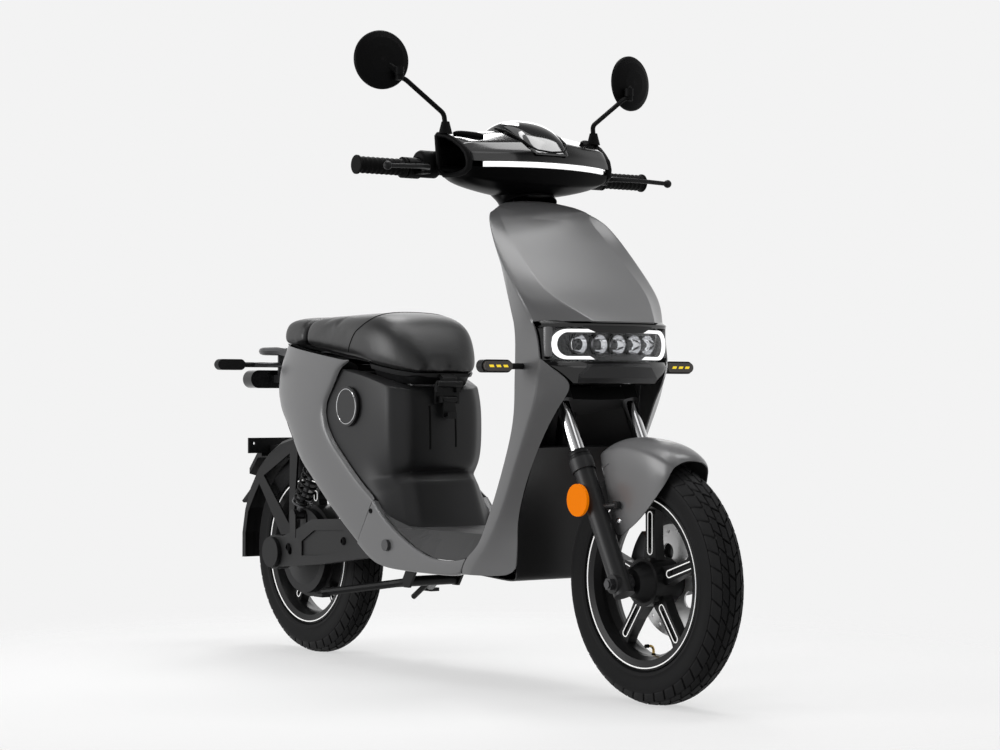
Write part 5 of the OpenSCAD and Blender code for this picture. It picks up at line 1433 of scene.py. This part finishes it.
@dataclass
class Bars:
    """Handlebar covers with their neck, lips and rods, the light strip, the dash and the switch sleeves."""

    widths: tuple[float, ...] = (172, 150, 100, 50, 0)
    # Points of the section at each half width: forward and up from the bar
    upper: tuple[tuple[Pair, ...], ...] = (
        ((92, 17), (86, 35), (70, 54), (40, 70), (6, 77), (-33, 64)),
        ((99, 16), (93, 36), (75, 56), (38, 74), (-8, 81), (-67, 58.5)),
        ((116, 18), (109, 37), (88, 58), (44, 80), (-8, 89), (-73, 62.5)),
        ((126, 19), (120, 38), (99, 61), (50, 86), (-7, 96), (-76, 66.5)),
        ((129, 19), (123, 38), (102, 62), (52, 88), (-6, 99), (-76, 68.5)),
    )
    lower: tuple[tuple[Pair, ...], ...] = (
        ((90, 4), (79, -10), (58, -15), (30, -16), (4, -12), (-36, 10), (-38, 66)),
        ((97, 4), (81, -18), (53, -26), (8, -27), (-39, -16), (-71, 14), (-72.2, 60)),
        ((114, 6), (97, -22), (65, -36), (8, -40), (-47, -22), (-75, 13), (-75.2, 64)),
        ((124, 7), (106, -25), (73, -43), (12, -48), (-47, -32), (-77, 7), (-78.2, 68)),
        ((127, 7), (109, -26), (75, -45), (13, -50), (-47, -34), (-77, 6), (-78.2, 70)),
    )
    # Slanted ends of the covers: forward of the bar, half width and up
    upper_end: tuple[Point, ...] = (
        (85, 178, 17), (79, 179, 33), (64, 182, 48), (45, 187, 61), (25, 193, 70), (4, 198, 74),
    )
    lower_end: tuple[Point, ...] = (
        (84, 178, 4), (72, 180, -4), (54, 183, -8), (36, 186, -9), (16, 190, -8), (3, 194, 4), (1, 198, 72),
    )
    # Light strip: half width and forward of the bar
    strip: tuple[Pair, ...] = (
        (149, 99.5), (137, 105), (125, 110), (100, 117), (75, 122.5), (50, 127), (25, 129.5), (0, 130),
    )
    # Height of the strip's middle over the bar, drop at its ends and half length
    strip_up: float = 12.5
    strip_drop: float = 2.0
    strip_half: float = 150.0
    # Neck: middle ahead of the steering axis, half length and half width, then height over the cap and growth
    neck: Point = (18.0, 45.0, 62.0)
    neck_rings: tuple[Pair, ...] = ((2, 4.0), (8, 1.0), (20, 0.0), (36, 5.0), (49, 12.0), (62, 16.0))
    neck_sides: int = 40
    # Line round the dash: forward of the bar, half width and up
    bezel: tuple[Point, ...] = (
        (16, 62, 93), (48, 61, 86), (75, 58, 74), (97, 53, 62), (110, 46, 51), (120, 32, 42), (124, 0, 39),
    )
    # Forward of the bar, half width, base and top above the bar
    dash: Table = (
        (126, 41, 33, 37), (112, 48, 44, 56), (97, 52, 54, 74), (75, 57, 64, 92), (45, 60, 76, 108), (10, 61, 82, 115),
        (-25, 58, 80, 109), (-42, 54, 76, 98),
    )

    def grid(self, table: Sequence[Sequence[Pair]], end: Sequence[Point]) -> Rows:
        """Rows across the bar through the matching points of each section and of the slanted end."""
        rows = []
        for k, (x, y, z) in enumerate(end):
            half = [(x, -y, z)] + [(s[k][0], -w, s[k][1]) for w, s in zip(self.widths, table)]
            rows.append(whole([(BAR_X + px, py, BAR_Z + pz) for px, py, pz in half]))
        return rows

    def build(self, shop: Workshop) -> None:
        """Make the two covers, the collar, the lips, the light strip and the dash."""
        middle = (BAR_X + 20, 0, BAR_Z + 10)
        upper = Panel(
            "bar_cover_top", self.grid(self.upper, self.upper_end), 2.6, 3, row_creases={1: 0.25, 2: 0.6, 3: 0.2},
            inside=middle,
        ).build()
        shop.dress(upper, GLOSS_BLACK, "steering", "bar_cover_upper")
        lower = Panel(
            "bar_cover_boat", self.grid(self.lower, self.lower_end), 2.6, 3, row_creases={1: 0.7, 2: 0.4}, inside=middle
        ).build()
        boat = joined("bar_cover_bottom", [lower, self.collar()])
        shop.dress(boat, BOAT_BLACK, "steering", "bar_cover_lower")
        self.add_dash(shop)
        self.add_strip(shop)
        self.add_ends(shop, upper)

    def add_strip(self, shop: Workshop) -> None:
        """Add the bright strip along the front of the covers."""
        rings = []
        line = ((-4, 5.3), (0.6, 5.0), (1.4, 3), (1.4, -3), (0.6, -5.0), (-4, -5.3))
        for y, x in self.strip + tuple((-y, x) for y, x in reversed(self.strip[:-1])):
            z = BAR_Z + self.strip_up - self.strip_drop * (y / self.strip_half) ** 2
            rings.append([(BAR_X + x + d, -y, z + h) for d, h in line])
        strip = loft("bar_light_strip", rings)
        shop.dress(strip, WHITE_LIGHT, "steering", "bar_light")

    def add_ends(self, shop: Workshop, upper: Piece) -> None:
        """Add the thick lips of the openings, the rods beside the mirrors and the switch sleeves.

        Args:
            shop: Workshop that dresses the pieces.
            upper: Upper cover, on which the rods lie.
        """
        loop = list(self.upper_end) + list(reversed(self.lower_end))
        wide = [7, 7, 6, 5.5, 5, 5, 5, 5, 5, 5, 5.5, 6, 7]
        path = [(BAR_X + x, -y + 3, BAR_Z + z) for x, y, z in loop]
        lip = sweep("bar_lip", path, wide, 14, (0, 1, 0), 1.0, True)
        shop.dress(both("bar_lips", lip), MATT_BLACK, "steering")
        laid = snapped(upper, [(BAR_X + 22, -170, BAR_Z + 80), (BAR_X + 62, -124, BAR_Z + 70)], 8, 2.5)
        rod = sweep("bar_rod", laid, [3.5, 5.6, 6, 6, 6, 6, 6, 5.6, 3.5])
        shop.dress(both("bar_rods", rod), MATT_BLACK, "steering")
        sleeve = turned(
            "switch_sleeve",
            [(13.5, -172), (25, -173), (27.5, -176), (27.5, -209), (25.5, -213), (22, -215.5), (13.5, -215.5)],
            (163, 0, 1049.0), 40,
        )
        shop.dress(both("switch_sleeves", sleeve), MATT_BLACK, "steering")

    def collar(self) -> Piece:
        """The oval neck under the covers."""
        ahead, long, wide = self.neck
        circle = [2 * math.pi * k / self.neck_sides for k in range(self.neck_sides)]
        rings = [
            [steer_point(ahead + (long + g) * math.cos(a), (wide + g) * math.sin(a), CAP_S + s) for a in circle]
            for s, g in self.neck_rings
        ]
        return Panel("bar_collar", rings, 2.0, 1, closed=True, inside=steer_point(0, 0, CAP_S + 25)).build()

    def add_dash(self, shop: Workshop) -> None:
        """Add the domed dash and the line round it."""
        dome_line = ((0, 0), (0.7, 0), (1, 0.05), (0.96, 0.4), (0.82, 0.74), (0.5, 0.94), (0, 1))
        rings = [
            ringed([(BAR_X + x, -k * w, BAR_Z + mix(low, high, h)) for k, h in dome_line])
            for x, w, low, high in self.dash
        ]
        dome = loft("dash_dome", rings, 3, {0: 0.5, 7: 0.8})
        shop.dress(dome, DISPLAY_GLOSS, "steering", "dash_display")
        line = whole([(BAR_X + x, -y, BAR_Z + z) for x, y, z in self.bezel])
        bezel = sweep("dash_bezel", [along(line, i / 60) for i in range(61)], 2.6, 10)
        shop.dress(bezel, MATT_BLACK, "steering")


@dataclass
class Wheels:
    """Treaded tyres, pin stripes, slot outlines and valves."""

    # Radius of the rim, radius where the tread's arc starts, its rise and half width
    rim: float = 166.0
    base: float = 200.0
    crown_rise: float = 33.5
    half: float = 39.0
    # Tread: blocks round the wheel, depth of the grooves and chamfer of a block
    pitches: int = 44
    groove: float = 4.0
    chamfer: float = 0.7
    # Spokes, half width and outer face of the slot in each, and radii between which the slots run
    spokes: int = 5
    slot_half: float = 6.6
    slot_face: float = 11.2
    front_slots: Pair = (52.0, 133.0)
    rear_slots: Pair = (112.9, 135.5)
    # Radius where the valve stands
    valve_foot: float = 148.0
    # Tread rows on each side: inner and outer edge, lean, half length and shift as shares of a pitch
    tread_rows: Table = (
        (1.0, 12.5, 0.30, 0.42, 0.0), (14.5, 24.0, 0.42, 0.42, 0.5), (25.5, 36.8, 0.42, 0.42, 0.5),
    )

    def crown(self, y: float) -> float:
        """Radius of the tread at a place across it."""
        return self.base + self.crown_rise * math.sqrt(max(0.0, 1 - (y / self.half) ** 2))

    def build(self, shop: Workshop) -> None:
        """Make both wheels' tyres and trim."""
        for x, body, node in ((FRONT_X, "front_wheel", "front_tyre"), (REAR_X, "rear_wheel", "rear_tyre")):
            end = node.split("_")[0]
            tyre = joined(f"{end}_treaded_tyre", [self.carcass(x), self.tread(x)])
            for v in tyre.data.vertices:
                v.co.z = max(v.co.z, 0.0)
            shop.dress(tyre, TYRE_RUBBER, body, node)
            reach = self.front_slots if end == "front" else self.rear_slots
            trim = joined(f"{end}_wheel_stripes", [self.stripe(x), *self.outlines(x, reach)])
            # The stripes and slot outlines glow with painted light from their finish
            shop.dress(both(f"{end}_wheel_lines", trim), WHITE_STRIPE_PAINTED_GLOW, body)
        self.add_valve(shop)

    def stripe(self, x: float) -> Piece:
        """White line round the flange of a rim."""
        return turned("stripe", [(160.2, 34.2), (160.2, 35.1), (162.3, 35.6), (162.3, 34.7)], (x, 0, AXLE_Z), 120)

    def outlines(self, x: float, reach: Pair) -> list[Piece]:
        """White lines round the slots of the five spokes.

        Args:
            x: Wheel centre.
            reach: Inner and outer end of the slots.

        Returns:
            One closed line for each spoke.
        """
        lines = []
        w = self.slot_half
        arc = [math.radians(a) for a in range(-90, 91, 15)]
        flat = [Vector((reach[1] - w + w * math.cos(a), w * math.sin(a))) for a in arc]
        flat += [Vector((reach[0] + w - w * math.cos(a), -w * math.sin(a))) for a in arc]
        for i in range(self.spokes):
            turn = Matrix.Rotation(math.radians(90 + 360 / self.spokes * i), 2)
            path = [(x + p.x, self.slot_face, AXLE_Z + p.y) for p in (turn @ q for q in flat)]
            lines.append(sweep(f"outline_{i}", path, 1.1, 8, (0, 1, 0), 0.6, True))
        return lines

    def add_valve(self, shop: Workshop) -> None:
        """Add the bent valve of the front tyre."""
        low = AXLE_Z - self.valve_foot
        # Name, path across and up, radius, sides and finish
        parts = (
            ("valve_base", ((-2, 0), (-2, 5), (-2, 10), (-2, 13)), [6, 5.4, 4.4, 3.2], 16, MATT_BLACK),
            ("valve_stem", ((-2, 12), (-2.4, 20), (-5, 25), (-10, 27), (-15, 27)), 2.6, 14, BRASS),
            ("valve_cap", ((-14, 27), (-15, 27), (-22, 27), (-23, 27)), [2.8, 3.8, 3.6, 2.6], 14, MATT_BLACK),
        )
        for name, path, radius, sides, finish in parts:
            piece = sweep(name, [(FRONT_X, y, low + z) for y, z in path], radius, sides, (1, 0, 0))
            shop.dress(piece, finish, "front_wheel")

    def carcass(self, x: float) -> Piece:
        """Smooth side walls and the ground under the tread blocks."""
        half = [(self.rim - 12.4, 29.4), (self.rim + 1, 29.4), (self.rim + 4, 36), (self.rim + 10, 38.2),
                (self.rim + 12, 37.6), (self.rim + 18, 37.4), (self.rim + 26, 38.6)]
        half += [(self.base + self.crown_rise * math.cos(math.radians(a)), self.half * math.sin(math.radians(a)))
                 for a in (88, 82, 76)]
        half += [(self.crown(y) - self.groove, y) for y in (36.5, 33, 28, 22, 16, 10, 5)]
        profile = half + [(r, -y) for r, y in reversed(half)]
        return turned("carcass", profile, (x, 0, AXLE_Z), 120)

    def tread(self, x: float) -> Piece:
        """Blocks of the tread: a chevron pair in the middle and two rows on each shoulder."""
        verts: list[Point] = []
        faces: list[Sequence[int]] = []
        step = 2 * math.pi / self.pitches
        for k in range(self.pitches):
            for side in (-1, 1):
                for y0, y1, lean, reach, shift in self.tread_rows:
                    a = step * (k + shift + 0.25 * (side > 0))
                    self.add_block(verts, faces, x, side * y0, side * y1, a, step * reach, step * lean)
        blocks = make("tread", verts, faces)
        face_out(blocks)
        return freeze(blocks, 20)

    def add_block(
        self, verts: list[Point], faces: list[Sequence[int]], x: float, y0: float, y1: float, a: float,
        reach: float, lean: float,
    ) -> None:
        """Add one chamfered block.

        Args:
            verts: Points so far.
            faces: Faces so far.
            x: Wheel centre.
            y0: Inner edge.
            y1: Outer edge.
            a: Angle of the block's middle at its inner edge.
            reach: Half its length as an angle.
            lean: Turn from the inner edge to the outer.
        """
        start = len(verts)
        toward = 1 if y1 > y0 else -1
        for drop, cut in ((self.groove + 1, 0.0), (0.8, 0.0), (0.0, self.chamfer)):
            for y, turn, sign in ((y0, 0.0, -1), (y0, 0.0, 1), (y1, lean, 1), (y1, lean, -1)):
                place = y + cut * toward * (1 if y == y0 else -1)
                angle = a + turn + sign * (reach - cut / self.base)
                r = self.crown(place) - drop
                verts.append((x + r * math.cos(angle), place, AXLE_Z + r * math.sin(angle)))
        for layer in (0, 4):
            for c in range(4):
                d = (c + 1) % 4
                faces.append((start + layer + c, start + layer + d, start + layer + 4 + d, start + layer + 4 + c))
        faces.append([start + 8 + c for c in range(4)])
        faces.append([start + 3 - c for c in range(4)])


@dataclass
class Shocks:
    """Coil springs of the rear shocks."""

    # Lower eye, lean, length between the eyes and place across
    eye: Pair = (-477.25, 320.0)
    tilt: float = math.radians(31.89)
    length: float = 274.43
    lane: float = 107.0
    # Radius of the coil and of its wire, turns and points in a turn
    coil: float = 19.0
    wire: float = 2.8
    turns: int = 12
    steps: int = 24
    # Spring seats: up from the lower eye, down from the upper eye, and the fixed end of the squash
    seat_low: float = 34.4
    seat_high: float = 62.4
    fixed: float = 62.0
    travel: float = 48.5

    def point(self, u: float, v: float, s: float, side: int) -> Point:
        """Point of the shock: u ahead, v across and s up its axis."""
        return (
            self.eye[0] + u * math.cos(self.tilt) + s * math.sin(self.tilt),
            side * (self.lane + v),
            self.eye[1] - u * math.sin(self.tilt) + s * math.cos(self.tilt),
        )

    def build(self, shop: Workshop) -> None:
        """Wind both springs."""
        low, high = self.seat_low + self.wire, self.length - self.seat_high - self.wire
        axis = (math.sin(self.tilt), 0.0, math.cos(self.tilt))
        count = self.turns * self.steps
        circle = [2 * math.pi * i / self.steps for i in range(count + 1)]
        coils = []
        for side in (-1, 1):
            path = [
                self.point(self.coil * math.cos(a), self.coil * math.sin(a), mix(low, high, i / count), side)
                for i, a in enumerate(circle)
            ]
            coils.append(sweep(f"coil_{side}", path, self.wire, 12, axis))
        springs = joined("shock_coils", coils)
        shop.dress(springs, FRAME_BLACK, "shock_upper", "shock_springs")
        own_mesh(springs)


@dataclass
class SmallTrim:
    """Indicator dashes, mirror glass and swingarm bolts."""

    # Lens face x, middle dash's half width and height of the front and rear indicators
    dashes: tuple[Point, ...] = ((FRONT_X - 190.5, 226, 641), (REAR_X - 155.5, 156, 657))
    # Corners of a dash, its half length, half height and slant, and the distance between dashes
    corners: tuple[Pair, ...] = ((-1, -1), (1, -1), (1, 1), (-1, 1))
    dash: Point = (5.0, 2.3, 1.2)
    pitch: float = 16.6
    # Bolts of the swingarm, and the middle and turn of the left mirror's glass
    bolts: tuple[Pair, ...] = ((REAR_X + 64, 246), (REAR_X + 295, 270))
    mirror: Point = (182.0, 315.0, 1247.0)
    mirror_turn: float = math.radians(10)

    def build(self, shop: Workshop) -> None:
        """Make the trim on both sides."""
        self.add_dashes(shop)
        self.add_glass(shop)
        bolts = [
            turned(
                f"arm_bolt_{i}", [(0.01, -1), (9, -1), (9, 1.4), (8, 2.4), (6, 4.4), (4.6, 4.6), (4, 2), (0.01, 2)],
                (x, 122, z), 32,
            )
            for i, (x, z) in enumerate(self.bolts)
        ]
        shop.dress(both("arm_bolts", joined("arm_bolts_left", bolts)), MATT_BLACK, "rear_arm")

    def add_dashes(self, shop: Workshop) -> None:
        """Add three amber dashes to each indicator."""
        slabs = []
        long, tall, slant = self.dash
        for x, y, z in self.dashes:
            out = 1 if x > 0 else -1
            for i in (-1, 0, 1):
                rings = [
                    [(x + d * out, y + self.pitch * i + sy * long * k + sz * slant, z + sz * tall * k)
                     for sy, sz in self.corners]
                    for d, k in ((-1.5, 1.0), (0.5, 1.0), (1.0, 0.85))
                ]
                slabs.append(loft(f"dash_{x:.0f}_{i}", rings))
        shop.dress(both("indicator_dashes", joined("dashes_left", slabs)), AMBER_LIGHT, "frame")

    def add_glass(self, shop: Workshop) -> None:
        """Add the glass of the two mirrors."""
        profile = [(0.01, -7.0), (25, -6.7), (45, -6.0), (53, -5.4), (53.6, -4.6), (0.01, -4.6)]
        glass = turned("mirror_glass_left", profile, (0, 0, 0), 72, "X", 50)
        glass.data.transform(Matrix.Translation(Vector(self.mirror) * MM) @ Matrix.Rotation(self.mirror_turn, 4, "Z"))
        shop.dress(mirrored(glass, "mirror_glass_right"), MIRROR_GLASS, "right_mirror")
        shop.dress(glass, MIRROR_GLASS, "left_mirror")


def main() -> None:
    """Build the studio and then the scooter, part by part."""
    logging.basicConfig(level=logging.INFO, format="%(message)s")
    shop = Workshop()
    Stage().build()
    parts = (
        Solids(), FrontShield(), Headlight(), LowerBody(), Seat(), SeatBox(), FrontFender(), Bars(), Wheels(), Shocks(),
        SmallTrim(),
    )
    for part in parts:
        LOG.info("building %s", type(part).__name__)
        part.build(shop)


if __name__ == "__main__":
    main()
